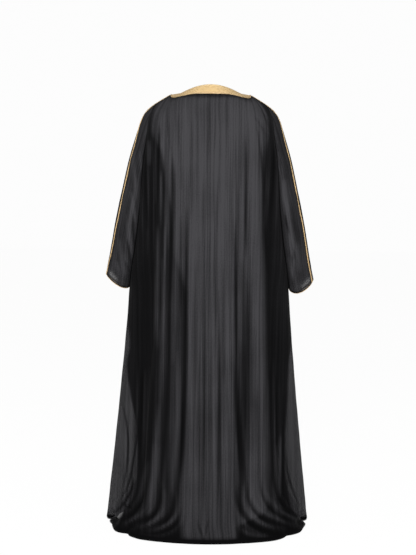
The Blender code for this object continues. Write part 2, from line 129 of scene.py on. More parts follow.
FOLD_HEIGHTS = (1.42, 1.16, 0.80, 0.43, 0.10)
BACK_FOLDS = (
    Fold(-0.198, -0.208, -0.230, -0.238, -0.252, 0.008, 0.022, 0.030, 0.034, 0.036),
    Fold(-0.130, -0.134, -0.150, -0.156, -0.165, 0.001, 0.005, 0.006, 0.006, 0.008),
    Fold(-0.092, -0.101, -0.098, -0.108, -0.115, 0.001, 0.006, 0.013, 0.016, 0.020),
    Fold(-0.028, -0.029, -0.032, -0.042, -0.043, 0.000, 0.003, 0.005, 0.006, 0.007),
    Fold(0.022, 0.020, 0.014, 0.014, 0.019, 0.000, 0.003, 0.004, 0.005, 0.006),
    Fold(0.078, 0.075, 0.076, 0.078, 0.084, 0.001, 0.005, 0.011, 0.012, 0.014),
    Fold(0.138, 0.145, 0.137, 0.132, 0.150, 0.001, 0.006, 0.009, 0.012, 0.014),
    Fold(0.168, 0.172, 0.170, 0.186, 0.200, 0.002, 0.006, 0.008, 0.009, 0.013),
    Fold(0.200, 0.211, 0.214, 0.236, 0.254, 0.008, 0.022, 0.034, 0.036, 0.034),
)
FRONT_FOLDS = {
    Side.LEFT: (
        Fold(0.208, 0.214, 0.236, 0.248, 0.262, 0.006, 0.018, 0.026, 0.028, 0.028),
        Fold(0.176, 0.172, 0.184, 0.194, 0.202, 0.001, 0.006, 0.009, 0.012, 0.014),
        Fold(0.150, 0.122, 0.126, 0.130, 0.138, 0.000, 0.007, 0.013, 0.015, 0.018),
    ),
    Side.RIGHT: (
        Fold(0.208, 0.210, 0.230, 0.244, 0.258, 0.006, 0.018, 0.024, 0.029, 0.029),
        Fold(0.176, 0.168, 0.176, 0.190, 0.198, 0.001, 0.007, 0.011, 0.013, 0.015),
        Fold(0.150, 0.116, 0.120, 0.122, 0.130, 0.000, 0.005, 0.010, 0.013, 0.015),
    ),
}


class Crease(NamedTuple):
    """A crease from its top over a middle point to its foot; depth and width in millimetres.

    A depth above zero is a trough, and below zero a ridge.
    """

    x_top: float
    h_top: float
    x_mid: float
    h_mid: float
    x_low: float
    h_low: float
    depth: float
    width: float


BACK_CREASES = (
    Crease(0.175, 1.433, 0.184, 1.289, 0.179, 1.147, 2.4, 5),
    Crease(0.153, 1.415, 0.155, 1.271, 0.161, 1.111, 2.0, 5),
    Crease(0.127, 1.314, 0.122, 1.218, 0.121, 1.065, 1.8, 5),
    Crease(-0.169, 1.444, -0.191, 1.307, -0.199, 1.146, 2.4, 5),
    Crease(-0.158, 1.469, -0.184, 1.437, -0.210, 1.388, 1.8, 5),
    Crease(-0.191, 1.488, -0.210, 1.453, -0.226, 1.403, 1.8, 5),
    Crease(-0.133, 1.378, -0.137, 1.236, -0.134, 1.051, 1.5, 5),
    Crease(0.224, 1.411, 0.229, 1.254, 0.219, 1.050, 4.0, 8),
    Crease(-0.232, 1.413, -0.233, 1.254, -0.222, 1.050, 4.0, 8),
    Crease(-0.101, 1.235, -0.104, 1.111, -0.101, 0.946, 1.8, 5),
    Crease(0.207, 1.344, 0.205, 1.164, 0.206, 0.943, 3.0, 5),
    Crease(0.136, 0.970, 0.135, 0.812, 0.138, 0.637, 2.0, 5),
    Crease(0.169, 1.040, 0.167, 0.846, 0.174, 0.636, 2.2, 5),
    Crease(0.188, 0.933, 0.187, 0.810, 0.192, 0.653, -2.0, 6),
    Crease(-0.151, 0.987, -0.151, 0.811, -0.147, 0.630, 1.8, 6),
    Crease(0.235, 0.562, 0.236, 0.424, 0.240, 0.221, 4.5, 6),
    Crease(0.191, 0.573, 0.196, 0.394, 0.200, 0.186, 3.6, 6),
    Crease(0.145, 0.603, 0.150, 0.397, 0.161, 0.179, 2.6, 5),
    Crease(0.080, 0.639, 0.082, 0.399, 0.084, 0.160, 2.4, 6),
    Crease(0.016, 0.708, 0.017, 0.400, 0.019, 0.135, 1.4, 7),
    Crease(-0.040, 0.708, -0.042, 0.400, -0.043, 0.119, 1.4, 7),
    Crease(-0.101, 0.604, -0.112, 0.364, -0.133, 0.165, 4.5, 8),
    Crease(-0.226, 0.598, -0.229, 0.391, -0.235, 0.188, 3.6, 5),
    Crease(-0.248, 0.544, -0.251, 0.354, -0.254, 0.179, 3.4, 4.5),
    Crease(-0.270, 0.368, -0.273, 0.248, -0.268, 0.110, 3.0, 4.5),
    Crease(0.316, 0.444, 0.282, 0.297, 0.304, 0.094, 3.2, 4),
    Crease(0.247, 0.395, 0.256, 0.268, 0.289, 0.111, 3.2, 4),
    Crease(0.266, 0.216, 0.282, 0.140, 0.336, 0.054, 2.8, 4),
    Crease(-0.284, 0.273, -0.295, 0.176, -0.338, 0.065, 2.8, 4),
    Crease(0.032, 0.072, 0.018, 0.038, 0.006, 0.010, 2.6, 4),
    Crease(-0.008, 0.075, 0.001, 0.041, 0.005, 0.010, 2.6, 4),
    Crease(0.070, 0.135, 0.070, 0.087, 0.076, 0.034, 1.4, 6),
    Crease(-0.019, 0.200, -0.019, 0.119, -0.026, 0.044, -1.2, 7),
    Crease(-0.262, 0.325, -0.258, 0.218, -0.256, 0.102, -2.0, 4),
    Crease(0.168, 0.190, 0.178, 0.086, 0.271, 0.033, 5.0, 7),
    Crease(0.122, 0.160, 0.136, 0.070, 0.249, 0.027, 4.6, 7),
    Crease(0.086, 0.110, 0.115, 0.052, 0.210, 0.025, 3.4, 6),
    Crease(0.214, 0.190, 0.235, 0.096, 0.309, 0.032, 4.6, 6),
    Crease(0.262, 0.190, 0.278, 0.114, 0.345, 0.034, 4.0, 5),
    Crease(-0.112, 0.180, -0.137, 0.076, -0.269, 0.022, 5.6, 8),
    Crease(-0.146, 0.190, -0.172, 0.090, -0.307, 0.024, 4.8, 7),
    Crease(-0.192, 0.195, -0.219, 0.101, -0.328, 0.030, 4.4, 6),
    Crease(-0.247, 0.180, -0.266, 0.101, -0.345, 0.034, 4.0, 5),
    Crease(0.300, 0.092, 0.282, 0.084, 0.258, 0.084, 3.0, 4),
    Crease(-0.250, 0.088, -0.274, 0.077, -0.297, 0.062, 3.4, 5),
)
# The fronts don't show in the photograph, so their creases are ones like those of the back.
FRONT_CREASES = (
    Crease(0.178, 1.420, 0.186, 1.270, 0.182, 1.120, 2.2, 5),
    Crease(0.158, 1.380, 0.150, 1.240, 0.148, 1.080, 1.8, 5),
    Crease(0.226, 1.400, 0.228, 1.250, 0.220, 1.060, 3.6, 8),
    Crease(0.146, 0.960, 0.142, 0.800, 0.150, 0.640, 2.0, 5),
    Crease(0.092, 0.700, 0.096, 0.430, 0.104, 0.180, 1.8, 6),
    Crease(0.160, 0.560, 0.166, 0.380, 0.176, 0.190, 2.6, 5),
    Crease(0.226, 0.540, 0.230, 0.360, 0.238, 0.170, 3.4, 6),
    Crease(0.176, 0.130, 0.200, 0.080, 0.232, 0.040, 2.4, 6),
    Crease(0.274, 0.350, 0.268, 0.240, 0.276, 0.120, 2.2, 5),
)
SLEEVE_CREASES = {
    Side.LEFT: (
        Crease(0.276, 1.200, 0.269, 1.142, 0.261, 1.084, -1.8, 5),
        Crease(0.294, 1.110, 0.282, 1.019, 0.271, 0.940, -2.2, 6),
        Crease(0.322, 1.019, 0.311, 0.947, 0.299, 0.875, -2.0, 6),
        Crease(0.272, 1.110, 0.268, 1.048, 0.268, 0.990, 2.2, 5),
        Crease(0.297, 1.026, 0.286, 0.983, 0.278, 0.932, 2.2, 5),
        Crease(0.303, 0.947, 0.292, 0.918, 0.281, 0.889, 1.8, 5),
        Crease(0.255, 1.308, 0.258, 1.218, 0.250, 1.146, 1.6, 5),
    ),
    Side.RIGHT: (
        Crease(0.270, 1.236, 0.277, 1.171, 0.285, 1.110, -2.2, 7),
        Crease(0.292, 1.110, 0.307, 1.048, 0.318, 0.983, -2.4, 7),
        Crease(0.278, 1.120, 0.285, 1.077, 0.300, 1.034, 2.2, 5),
        Crease(0.300, 1.026, 0.311, 0.976, 0.322, 0.925, 2.0, 5),
        Crease(0.311, 0.965, 0.319, 0.929, 0.323, 0.882, -1.8, 5),
        Crease(0.262, 1.345, 0.262, 1.272, 0.266, 1.200, 1.6, 5),
    ),
}


class PaintedStreak(NamedTuple):
    """A painted streak of light where the cloth lies single and catches the light, or, in the table of back
    shades, a painted streak of shade: a path, its strength and its width in mm.
    """

    x_top: float
    h_top: float
    x_mid: float
    h_mid: float
    x_low: float
    h_low: float
    strength: float
    width: float


# Painted light: streaks painted lighter on the back, where the cloth lies single and catches the light.
BACK_PAINTED_LIGHTS = (
    PaintedStreak(0.120, 1.020, 0.124, 0.500, 0.132, 0.060, 0.22, 42),
    PaintedStreak(0.113, 1.130, 0.115, 0.860, 0.120, 0.580, 0.75, 9),
    PaintedStreak(0.110, 0.640, 0.106, 0.420, 0.122, 0.130, 0.50, 9),
    PaintedStreak(0.157, 0.960, 0.157, 0.700, 0.166, 0.380, 0.72, 7),
    PaintedStreak(0.168, 0.450, 0.181, 0.240, 0.187, 0.080, 0.70, 8),
    PaintedStreak(0.148, 1.320, 0.149, 1.150, 0.152, 0.960, 0.45, 8),
    PaintedStreak(0.054, 1.120, 0.056, 0.700, 0.056, 0.120, 0.80, 10),
    PaintedStreak(-0.070, 1.160, -0.070, 0.700, -0.078, 0.080, 0.75, 10),
    PaintedStreak(0.084, 1.520, 0.085, 1.420, 0.080, 1.280, 0.70, 44),
    PaintedStreak(-0.120, 1.520, -0.125, 1.420, -0.130, 1.300, 0.60, 40),
    PaintedStreak(-0.166, 1.320, -0.174, 1.120, -0.182, 0.900, 0.85, 11),
    PaintedStreak(-0.180, 1.020, -0.185, 0.700, -0.205, 0.240, 1.00, 14),
    PaintedStreak(-0.204, 0.530, -0.207, 0.325, -0.199, 0.111, 0.95, 17),
    PaintedStreak(0.178, 1.075, 0.180, 0.846, 0.174, 0.636, 0.60, 9),
    PaintedStreak(0.177, 0.311, 0.182, 0.194, 0.204, 0.070, 0.75, 11),
    PaintedStreak(0.205, 0.251, 0.221, 0.174, 0.230, 0.097, 0.45, 9),
    PaintedStreak(-0.221, 0.174, -0.235, 0.106, -0.259, 0.053, 0.55, 12),
    PaintedStreak(-0.247, 0.303, -0.246, 0.203, -0.246, 0.114, 1.00, 5),
    PaintedStreak(-0.262, 0.332, -0.261, 0.217, -0.260, 0.118, 1.00, 5),
    PaintedStreak(0.067, 0.151, 0.066, 0.087, 0.069, 0.028, 0.40, 12),
    PaintedStreak(0.145, 0.160, 0.160, 0.078, 0.257, 0.031, 0.38, 7),
    PaintedStreak(0.195, 0.170, 0.212, 0.090, 0.294, 0.032, 0.38, 6),
    PaintedStreak(0.098, 0.120, 0.122, 0.061, 0.228, 0.027, 0.30, 6),
    PaintedStreak(-0.128, 0.160, -0.156, 0.078, -0.284, 0.024, 0.38, 6),
    PaintedStreak(-0.166, 0.175, -0.194, 0.094, -0.319, 0.027, 0.38, 6),
    PaintedStreak(-0.216, 0.175, -0.241, 0.101, -0.341, 0.030, 0.50, 6),
    PaintedStreak(-0.105, 0.052, -0.160, 0.026, -0.215, 0.020, 0.30, 6),
    PaintedStreak(0.191, 1.398, 0.189, 1.289, 0.189, 1.146, 0.50, 4),
    PaintedStreak(0.169, 1.264, 0.168, 1.182, 0.168, 1.065, 0.60, 4),
    PaintedStreak(0.145, 1.307, 0.143, 1.182, 0.140, 0.987, 0.50, 5),
    PaintedStreak(0.217, 1.381, 0.214, 1.337, 0.213, 1.286, 0.45, 7),
    PaintedStreak(0.154, 1.076, 0.153, 0.987, 0.152, 0.899, 0.45, 4.5),
    PaintedStreak(-0.170, 0.776, -0.184, 0.497, -0.200, 0.252, 0.75, 10),
    PaintedStreak(-0.204, 0.359, -0.211, 0.208, -0.221, 0.102, 0.60, 9),
)
# Painted shade: dark lines painted along the fold valleys of the back.
BACK_PAINTED_SHADES = (
    PaintedStreak(0.012, 0.900, 0.012, 0.430, 0.016, 0.040, 0.42, 8),
    PaintedStreak(-0.036, 0.850, -0.042, 0.430, -0.043, 0.040, 0.46, 9),
    PaintedStreak(-0.072, 0.620, -0.078, 0.300, -0.084, 0.060, 0.25, 7),
    PaintedStreak(0.040, 0.540, 0.042, 0.300, 0.046, 0.080, 0.25, 7),
    PaintedStreak(-0.140, 1.440, -0.146, 1.240, -0.140, 1.000, 0.35, 6),
    PaintedStreak(-0.092, 1.400, -0.098, 1.200, -0.096, 0.960, 0.30, 6),
    PaintedStreak(-0.020, 1.460, -0.018, 1.250, -0.020, 1.000, 0.20, 7),
    PaintedStreak(0.060, 1.450, 0.062, 1.250, 0.066, 1.020, 0.28, 7),
    PaintedStreak(0.112, 1.470, 0.104, 1.350, 0.096, 1.200, 0.35, 7),
    PaintedStreak(0.150, 1.500, 0.146, 1.420, 0.134, 1.330, 0.35, 6),
    PaintedStreak(0.178, 1.440, 0.177, 1.310, 0.180, 1.180, 0.70, 5),
    PaintedStreak(0.146, 1.380, 0.146, 1.250, 0.148, 1.100, 0.45, 5),
    PaintedStreak(0.127, 1.290, 0.128, 1.020, 0.133, 0.800, 0.88, 8),
    PaintedStreak(0.132, 0.900, 0.137, 0.455, 0.158, 0.180, 0.92, 9),
    PaintedStreak(0.074, 1.140, 0.077, 0.810, 0.080, 0.470, 0.84, 8),
    PaintedStreak(0.080, 0.570, 0.088, 0.320, 0.106, 0.080, 0.88, 9),
    PaintedStreak(-0.097, 1.100, -0.100, 0.810, -0.105, 0.460, 0.90, 7),
    PaintedStreak(-0.104, 0.580, -0.112, 0.340, -0.120, 0.070, 0.90, 9),
    PaintedStreak(-0.125, 0.960, -0.130, 0.450, -0.124, 0.030, 0.86, 18),
    PaintedStreak(0.004, 0.760, 0.002, 0.430, 0.004, 0.040, 0.22, 22),
    PaintedStreak(-0.130, 1.400, -0.133, 1.170, -0.137, 0.960, 0.50, 6),
    PaintedStreak(-0.176, 1.480, -0.182, 1.330, -0.176, 1.180, 0.40, 6),
    PaintedStreak(0.179, 1.404, 0.177, 1.343, 0.174, 1.271, 0.55, 4),
    PaintedStreak(0.160, 1.300, 0.159, 1.218, 0.158, 1.136, 0.60, 4),
    PaintedStreak(0.129, 1.325, 0.128, 1.243, 0.127, 1.150, 0.60, 4),
    PaintedStreak(0.161, 1.147, 0.161, 1.051, 0.161, 0.945, 0.60, 5),
    PaintedStreak(0.097, 1.111, 0.096, 0.946, 0.094, 0.743, 0.50, 5),
    PaintedStreak(-0.020, 1.306, -0.022, 1.059, -0.025, 0.708, 0.28, 7),
    PaintedStreak(-0.143, 0.882, -0.148, 0.637, -0.158, 0.261, 0.62, 11),
    PaintedStreak(-0.131, 1.236, -0.132, 1.094, -0.133, 0.952, 0.35, 6),
)
# Painted light: streaks painted lighter on the fronts.
FRONT_PAINTED_LIGHTS = (
    PaintedStreak(0.128, 1.250, 0.130, 0.900, 0.134, 0.560, 0.80, 16),
    PaintedStreak(0.160, 1.000, 0.164, 0.760, 0.166, 0.500, 0.60, 9),
    PaintedStreak(0.100, 0.760, 0.104, 0.440, 0.110, 0.120, 0.85, 15),
    PaintedStreak(0.184, 0.620, 0.190, 0.360, 0.200, 0.120, 0.70, 11),
    PaintedStreak(0.216, 0.420, 0.224, 0.240, 0.234, 0.090, 0.50, 9),
)
# Painted light: streaks painted lighter on the sleeves.
SLEEVE_PAINTED_LIGHTS = {
    Side.LEFT: (
        PaintedStreak(0.273, 1.345, 0.269, 1.254, 0.254, 1.146, 0.45, 9),
        PaintedStreak(0.280, 1.193, 0.272, 1.146, 0.261, 1.077, 0.75, 7),
        PaintedStreak(0.297, 1.110, 0.282, 1.026, 0.267, 0.940, 0.60, 8),
        PaintedStreak(0.322, 1.026, 0.314, 0.954, 0.299, 0.878, 0.60, 8),
        PaintedStreak(0.288, 1.381, 0.280, 1.308, 0.273, 1.254, 0.35, 6),
        PaintedStreak(0.332, 0.940, 0.325, 0.911, 0.314, 0.875, 0.50, 8),
        PaintedStreak(0.251, 1.345, 0.245, 1.294, 0.241, 1.236, 0.45, 4),
        PaintedStreak(0.259, 1.243, 0.257, 1.200, 0.256, 1.157, 0.55, 4),
        PaintedStreak(0.278, 1.164, 0.279, 1.113, 0.283, 1.063, 0.55, 4),
        PaintedStreak(0.295, 1.084, 0.295, 1.048, 0.297, 1.005, 0.50, 4),
        PaintedStreak(0.304, 0.976, 0.296, 0.932, 0.288, 0.889, 0.60, 4),
        PaintedStreak(0.270, 1.290, 0.266, 1.251, 0.264, 1.207, 0.45, 4),
    ),
    Side.RIGHT: (
        PaintedStreak(0.254, 1.345, 0.262, 1.254, 0.270, 1.146, 0.55, 9),
        PaintedStreak(0.277, 1.243, 0.281, 1.171, 0.292, 1.092, 0.90, 13),
        PaintedStreak(0.292, 1.110, 0.300, 1.037, 0.311, 0.961, 0.90, 11),
        PaintedStreak(0.322, 1.019, 0.326, 0.961, 0.333, 0.904, 0.50, 9),
        PaintedStreak(0.289, 0.965, 0.301, 0.918, 0.312, 0.867, 0.40, 8),
        PaintedStreak(0.241, 1.345, 0.241, 1.294, 0.245, 1.236, 0.45, 4),
        PaintedStreak(0.265, 1.218, 0.270, 1.164, 0.276, 1.113, 0.50, 4),
        PaintedStreak(0.282, 1.146, 0.286, 1.099, 0.292, 1.048, 0.55, 4),
        PaintedStreak(0.301, 1.048, 0.307, 1.005, 0.313, 0.961, 0.50, 4),
        PaintedStreak(0.313, 0.969, 0.310, 0.925, 0.305, 0.882, 0.50, 4),
    ),
}
# Painted light: the base lightness painted on each sleeve.
SLEEVE_BASE_PAINTED_LIGHT = {Side.LEFT: 0.40, Side.RIGHT: 0.32}


class PaintedLitEdge(NamedTuple):
    """The x of the two borders of the middle of the back that is painted lighter, at a height, and how soft they
    are.
    """

    height: float
    left: float
    right: float
    soft: float


PAINTED_LIT_EDGES = (
    PaintedLitEdge(1.538, 0.175, -0.176, 0.012),
    PaintedLitEdge(1.489, 0.195, -0.200, 0.014),
    PaintedLitEdge(1.417, 0.203, -0.212, 0.012),
    PaintedLitEdge(1.330, 0.166, -0.200, 0.012),
    PaintedLitEdge(1.236, 0.150, -0.194, 0.010),
    PaintedLitEdge(1.113, 0.128, -0.194, 0.009),
    PaintedLitEdge(0.985, 0.122, -0.198, 0.010),
    PaintedLitEdge(0.900, 0.092, -0.204, 0.014),
    PaintedLitEdge(0.812, 0.072, -0.208, 0.010),
    PaintedLitEdge(0.560, 0.070, -0.212, 0.008),
    PaintedLitEdge(0.420, 0.072, -0.214, 0.008),
    PaintedLitEdge(0.280, 0.079, -0.222, 0.008),
    PaintedLitEdge(0.160, 0.090, -0.226, 0.010),
    PaintedLitEdge(0.090, 0.090, -0.200, 0.014),
    PaintedLitEdge(0.045, 0.080, -0.104, 0.016),
    PaintedLitEdge(0.009, 0.078, -0.100, 0.018),
)


class HemDent(NamedTuple):
    """Where the hem is drawn in on the floor: its y, depth and width, by side."""

    side: Side
    y: float
    depth: float
    width: float


HEM_DENTS = (
    HemDent(Side.LEFT, 0.062, 0.030, 0.016),
    HemDent(Side.LEFT, 0.114, 0.010, 0.036),
    HemDent(Side.LEFT, 0.200, -0.010, 0.030),
    HemDent(Side.LEFT, 0.240, 0.010, 0.012),
    HemDent(Side.LEFT, 0.285, -0.012, 0.040),
    HemDent(Side.RIGHT, 0.066, 0.038, 0.020),
    HemDent(Side.RIGHT, 0.195, -0.012, 0.040),
    HemDent(Side.RIGHT, 0.243, 0.006, 0.012),
    HemDent(Side.RIGHT, 0.285, -0.014, 0.036),
)


@dataclass(frozen=True)
class HemTuck:
    """The groove above the roll in which the train starts at both sides."""

    y_from: float = 0.050
    y_to: float = 0.210
    height: float = 0.027
    spread: float = 0.011
    depth: float = 0.016

    def at(self, points: np.ndarray) -> np.ndarray:
        """How deep the groove is at each point."""
        along = ease(points[:, 1], self.y_from - 0.04, self.y_from)
        along = along * ease(-points[:, 1], -self.y_to, 0.06 - self.y_to)
        return self.depth * along * np.exp(-(((points[:, 2] - self.height) / self.spread) ** 2))


class NeckPoint(NamedTuple):
    """A point of the neckband's lower edge, by share of the way from the nape to the shoulder seam."""

    share: float
    x: float
    y: float
    height: float


NECK_FOOT = (
    NeckPoint(0.00, 0.000, 0.080, 1.5470),
    NeckPoint(0.10, 0.021, 0.080, 1.5470),
    NeckPoint(0.25, 0.052, 0.076, 1.5470),
    NeckPoint(0.50, 0.098, 0.062, 1.5410),
    NeckPoint(0.75, 0.136, 0.036, 1.5345),
    NeckPoint(0.88, 0.145, 0.012, 1.5370),
    NeckPoint(1.00, 0.148, -0.022, 1.5490),
)


class BandEdge(NamedTuple):
    """The x of a front band's outer and inner edge at a height."""

    height: float
    outer: float
    inner: float


BAND_EDGES = (
    BandEdge(1.42, 0.130, 0.090),
    BandEdge(1.33, 0.103, 0.062),
    BandEdge(1.25, 0.082, 0.041),
    BandEdge(1.15, 0.076, 0.035),
    BandEdge(0.95, 0.074, 0.034),
    BandEdge(0.85, 0.058, 0.034),
    BandEdge(0.78, 0.048, 0.035),
    BandEdge(0.00, 0.050, 0.037),
)


class HemStep(NamedTuple):
    """A row of the turned hem: how far out from the floor outline, and its height."""

    out: float
    height: float


HEM_STEPS = (
    HemStep(0.0, 0.009),
    HemStep(-0.0008, 0.005),
    HemStep(-0.003, 0.002),
    HemStep(-0.008, 0.0006),
    HemStep(-0.020, 0.0004),
    HemStep(-0.038, 0.0004),
)


class RidgePoint(NamedTuple):
    """A point of the sleeve ridge, from the shoulder to the cuff tip."""

    x: float
    y: float
    height: float


RIDGE = (
    RidgePoint(0.2060, -0.022, 1.518),
    RidgePoint(0.2385, -0.021, 1.488),
    RidgePoint(0.2550, -0.020, 1.457),
    RidgePoint(0.2740, -0.018, 1.398),
    RidgePoint(0.2988, -0.012, 1.310),
    RidgePoint(0.3235, -0.004, 1.193),
    RidgePoint(0.3462, 0.003, 1.075),
    RidgePoint(0.3650, 0.008, 0.958),
    RidgePoint(0.3775, 0.010, 0.893),
)


class Drape(NamedTuple):
    """A drape across a sleeve, placed by its share of the way down at the ridge and at the armhole."""

    at_ridge: float
    at_armhole: float
    depth: float
    spread: float


DRAPES = (
    Drape(0.20, 0.34, 0.005, 0.060),
    Drape(0.40, 0.58, 0.007, 0.060),
    Drape(0.62, 0.80, 0.006, 0.055),
    Drape(0.82, 0.95, 0.005, 0.050),
)


class Bulge(NamedTuple):
    """How far a sleeve stands out behind and before the line from armhole to ridge, by share down."""

    share: float
    back: float
    front: float


BULGES = (
    Bulge(0.00, 0.000, 0.000),
    Bulge(0.12, 0.018, 0.006),
    Bulge(0.35, 0.040, 0.024),
    Bulge(0.65, 0.046, 0.036),
    Bulge(0.88, 0.048, 0.044),
    Bulge(1.00, 0.046, 0.044),
)


class Cuff(NamedTuple):
    """How the two cuffs differ: the sag of the edge, and how far the tip hangs lower and further out."""

    sag: float
    drop: float
    out: float


CUFFS = {Side.LEFT: Cuff(0.017, 0.0, 0.0), Side.RIGHT: Cuff(0.029, 0.015, 0.004)}


class LineInset(NamedTuple):
    """How far inside the sleeve's outline its gold line runs, by share of the way down."""

    share: float
    left: float
    right: float


LINE_INSETS = (
    LineInset(0.00, 0.0004, 0.0004),
    LineInset(0.16, 0.0010, 0.0016),
    LineInset(0.26, 0.0050, 0.0056),
    LineInset(0.60, 0.0068, 0.0066),
    LineInset(0.86, 0.0048, 0.0062),
    LineInset(0.97, 0.0014, 0.0052),
    LineInset(1.00, 0.0010, 0.0044),
)


class SheerEdge(NamedTuple):
    """The |x| beyond which only the two sheer side layers stand against the light, at a height."""

    height: float
    left: float
    right: float


SHEER_EDGES = (
    SheerEdge(0.730, 0.302, 0.330),
    SheerEdge(0.695, 0.284, 0.310),
    SheerEdge(0.635, 0.280, 0.304),
    SheerEdge(0.573, 0.290, 0.293),
    SheerEdge(0.452, 0.272, 0.289),
    SheerEdge(0.350, 0.251, 0.283),
    SheerEdge(0.234, 0.246, 0.281),
    SheerEdge(0.150, 0.251, 0.286),
    SheerEdge(0.107, 0.262, 0.292),
    SheerEdge(0.080, 0.284, 0.304),
    SheerEdge(0.045, 0.303, 0.326),
    SheerEdge(0.015, 0.335, 0.345),
)


def smooth(at: float | np.ndarray, keys: list[float], values: list[float]) -> float | np.ndarray:
    """Reads a smooth curve that never overshoots and is level beyond its ends.

    Args:
        at: Where to read it.
        keys: Rising places of the values.
        values: The values there.

    Returns:
        The value at each place.
    """
    keys, values = np.asarray(keys, float), np.asarray(values, float)
    grades = np.diff(values) / np.diff(keys)
    least = 2 * np.minimum(np.abs(grades[1:]), np.abs(grades[:-1])) * (grades[1:] * grades[:-1] > 0)
    slopes = np.gradient(values, keys)
    slopes[1:-1] = np.clip(slopes[1:-1], -least, least)
    i = np.clip(np.searchsorted(keys, at) - 1, 0, len(keys) - 2)
    step = keys[i + 1] - keys[i]
    t = np.clip((at - keys[i]) / step, 0.0, 1.0)
    start = (1 + 2 * t) * (1 - t) ** 2 * values[i] + t * (1 - t) ** 2 * step * slopes[i]
    return start + t**2 * (3 - 2 * t) * values[i + 1] - t**2 * (1 - t) * step * slopes[i + 1]


def falling(table: tuple, name: str, height: float | np.ndarray) -> float | np.ndarray:
    """Reads one column of a table whose heights fall.

    Args:
        table: Rows with a height.
        name: The column.
        height: Where to read it.

    Returns:
        The column's value at that height.
    """
    return smooth(-height, [-row.height for row in table], [getattr(row, name) for row in table])


def by_share(table: tuple, name: str, share: float | np.ndarray) -> float | np.ndarray:
    """Reads one column of a table that is keyed by share.

    Args:
        table: Rows with a share.
        name: The column.
        share: Where to read it.

    Returns:
        The column's value at that share.
    """
    return smooth(share, [row.share for row in table], [getattr(row, name) for row in table])


def ease(value: float | np.ndarray, low: float, high: float) -> float | np.ndarray:
    """Runs softly from 0 at low to 1 at high.

    Args:
        value: What is read.
        low: Where it leaves 0.
        high: Where it reaches 1.

    Returns:
        The share from 0 to 1.
    """
    t = np.clip((value - low) / (high - low), 0.0, 1.0)
    return t * t * (3 - 2 * t)


def spread(anchors: list[float], counts: tuple[int, ...]) -> np.ndarray:
    """Values that run from anchor to anchor in equal steps.

    Args:
        anchors: The values to pass through.
        counts: How many steps lie between each two.

    Returns:
        All the values in order.
    """
    runs = [a + (b - a) * np.arange(n) / n for a, b, n in zip(anchors, anchors[1:], counts)]
    return np.concatenate([*runs, [anchors[-1]]])


def bezier(a: np.ndarray, b: np.ndarray, c: np.ndarray, d: np.ndarray, t: float) -> np.ndarray:
    """A point of the cubic curve with these four handles.

    Args:
        a: Start.
        b: First handle.
        c: Second handle.
        d: End.
        t: Share of the way.

    Returns:
        The point.
    """
    return (1 - t) ** 3 * a + 3 * (1 - t) ** 2 * t * b + 3 * (1 - t) * t * t * c + t**3 * d


def unit(vectors: np.ndarray) -> np.ndarray:
    """The same directions with length 1."""
    return vectors / np.maximum(np.linalg.norm(vectors, axis=-1, keepdims=True), 1e-12)


def length_along(points: np.ndarray) -> np.ndarray:
    """The distance of each point along a line."""
    return np.concatenate([[0.0], np.cumsum(np.linalg.norm(np.diff(points, axis=0), axis=1))])


def grid_normals(points: np.ndarray) -> np.ndarray:
    """Normals of a left-hand grid, from the steps along its rows and columns."""
    return unit(np.cross(np.gradient(points, axis=1), np.gradient(points, axis=0)))


def beside_path(points: np.ndarray, path: tuple, reach: float) -> tuple[np.ndarray, np.ndarray, np.ndarray]:
    """Where grid points lie beside a curved path of top, middle and foot.

    Args:
        points: Grid of points, with heights as z.
        path: x and height of the top, of a middle point and of the foot.
        reach: How far from the path to look, in metres.

    Returns:
        The points near it, their distance from it, and how far along it they are.
    """
    x, h = points[..., 0], points[..., 2]
    x_top, h_top, x_mid, h_mid, x_low, h_low = path[:6]
    stops = np.linspace(0.0, 1.0, 9)
    lead_x, lead_h = 2 * x_mid - (x_top + x_low) / 2, 2 * h_mid - (h_top + h_low) / 2
    line_x = (1 - stops) ** 2 * x_top + 2 * stops * (1 - stops) * lead_x + stops**2 * x_low
    line_h = (1 - stops) ** 2 * h_top + 2 * stops * (1 - stops) * lead_h + stops**2 * h_low
    near = (h < line_h.max() + reach) & (h > line_h.min() - reach)
    near &= (x > line_x.min() - reach) & (x < line_x.max() + reach)
    px, ph = x[near], h[near]
    best, along = np.full(px.shape, 1e9), np.zeros(px.shape)
    for k in range(len(stops) - 1):
        dx, dh = line_x[k + 1] - line_x[k], line_h[k + 1] - line_h[k]
        t = np.clip(((px - line_x[k]) * dx + (ph - line_h[k]) * dh) / (dx * dx + dh * dh), 0.0, 1.0)
        gap = np.hypot(px - line_x[k] - t * dx, ph - line_h[k] - t * dh)
        closer = gap < best
        best, along = np.where(closer, gap, best), np.where(closer, (k + t) / (len(stops) - 1), along)
    return near, best, along


def crease_depth(points: np.ndarray, creases: tuple[Crease, ...]) -> np.ndarray:
    """How far the listed creases press a grid of points in.

    Args:
        points: Grid of points, with heights as z.
        creases: The creases, in x and height.

    Returns:
        The depth at each point in metres.
    """
    total = np.zeros(points.shape[:2])
    for crease in creases:
        width = crease.width / 1000
        near, away, along = beside_path(points, crease, 5 * width)
        trough = np.exp(-((away / width) ** 2)) - 0.3 * np.exp(-(((away - 2.1 * width) / width) ** 2))
        total[near] += crease.depth / 1000 * trough * np.sin(math.pi * np.clip(along, 0.0, 1.0)) ** 0.7
    return total


def painted_streak_share(points: np.ndarray, painted_streaks: tuple[PaintedStreak, ...]) -> np.ndarray:
    """How strongly the painted streaks reach each grid point: as light for streaks of light, as shade for streaks
    of shade.

    Args:
        points: Grid of points, with heights as z.
        painted_streaks: The streaks.

    Returns:
        The painted share from 0 to 1.
    """
    dark = np.ones(points.shape[:2])
    for painted_streak in painted_streaks:
        width = painted_streak.width / 1000
        near, away, along = beside_path(points, painted_streak, 3 * width)
        dark[near] *= 1 - painted_streak.strength * np.exp(-((away / width) ** 2)) * np.sin(math.pi * along) ** 0.6
    return 1 - dark


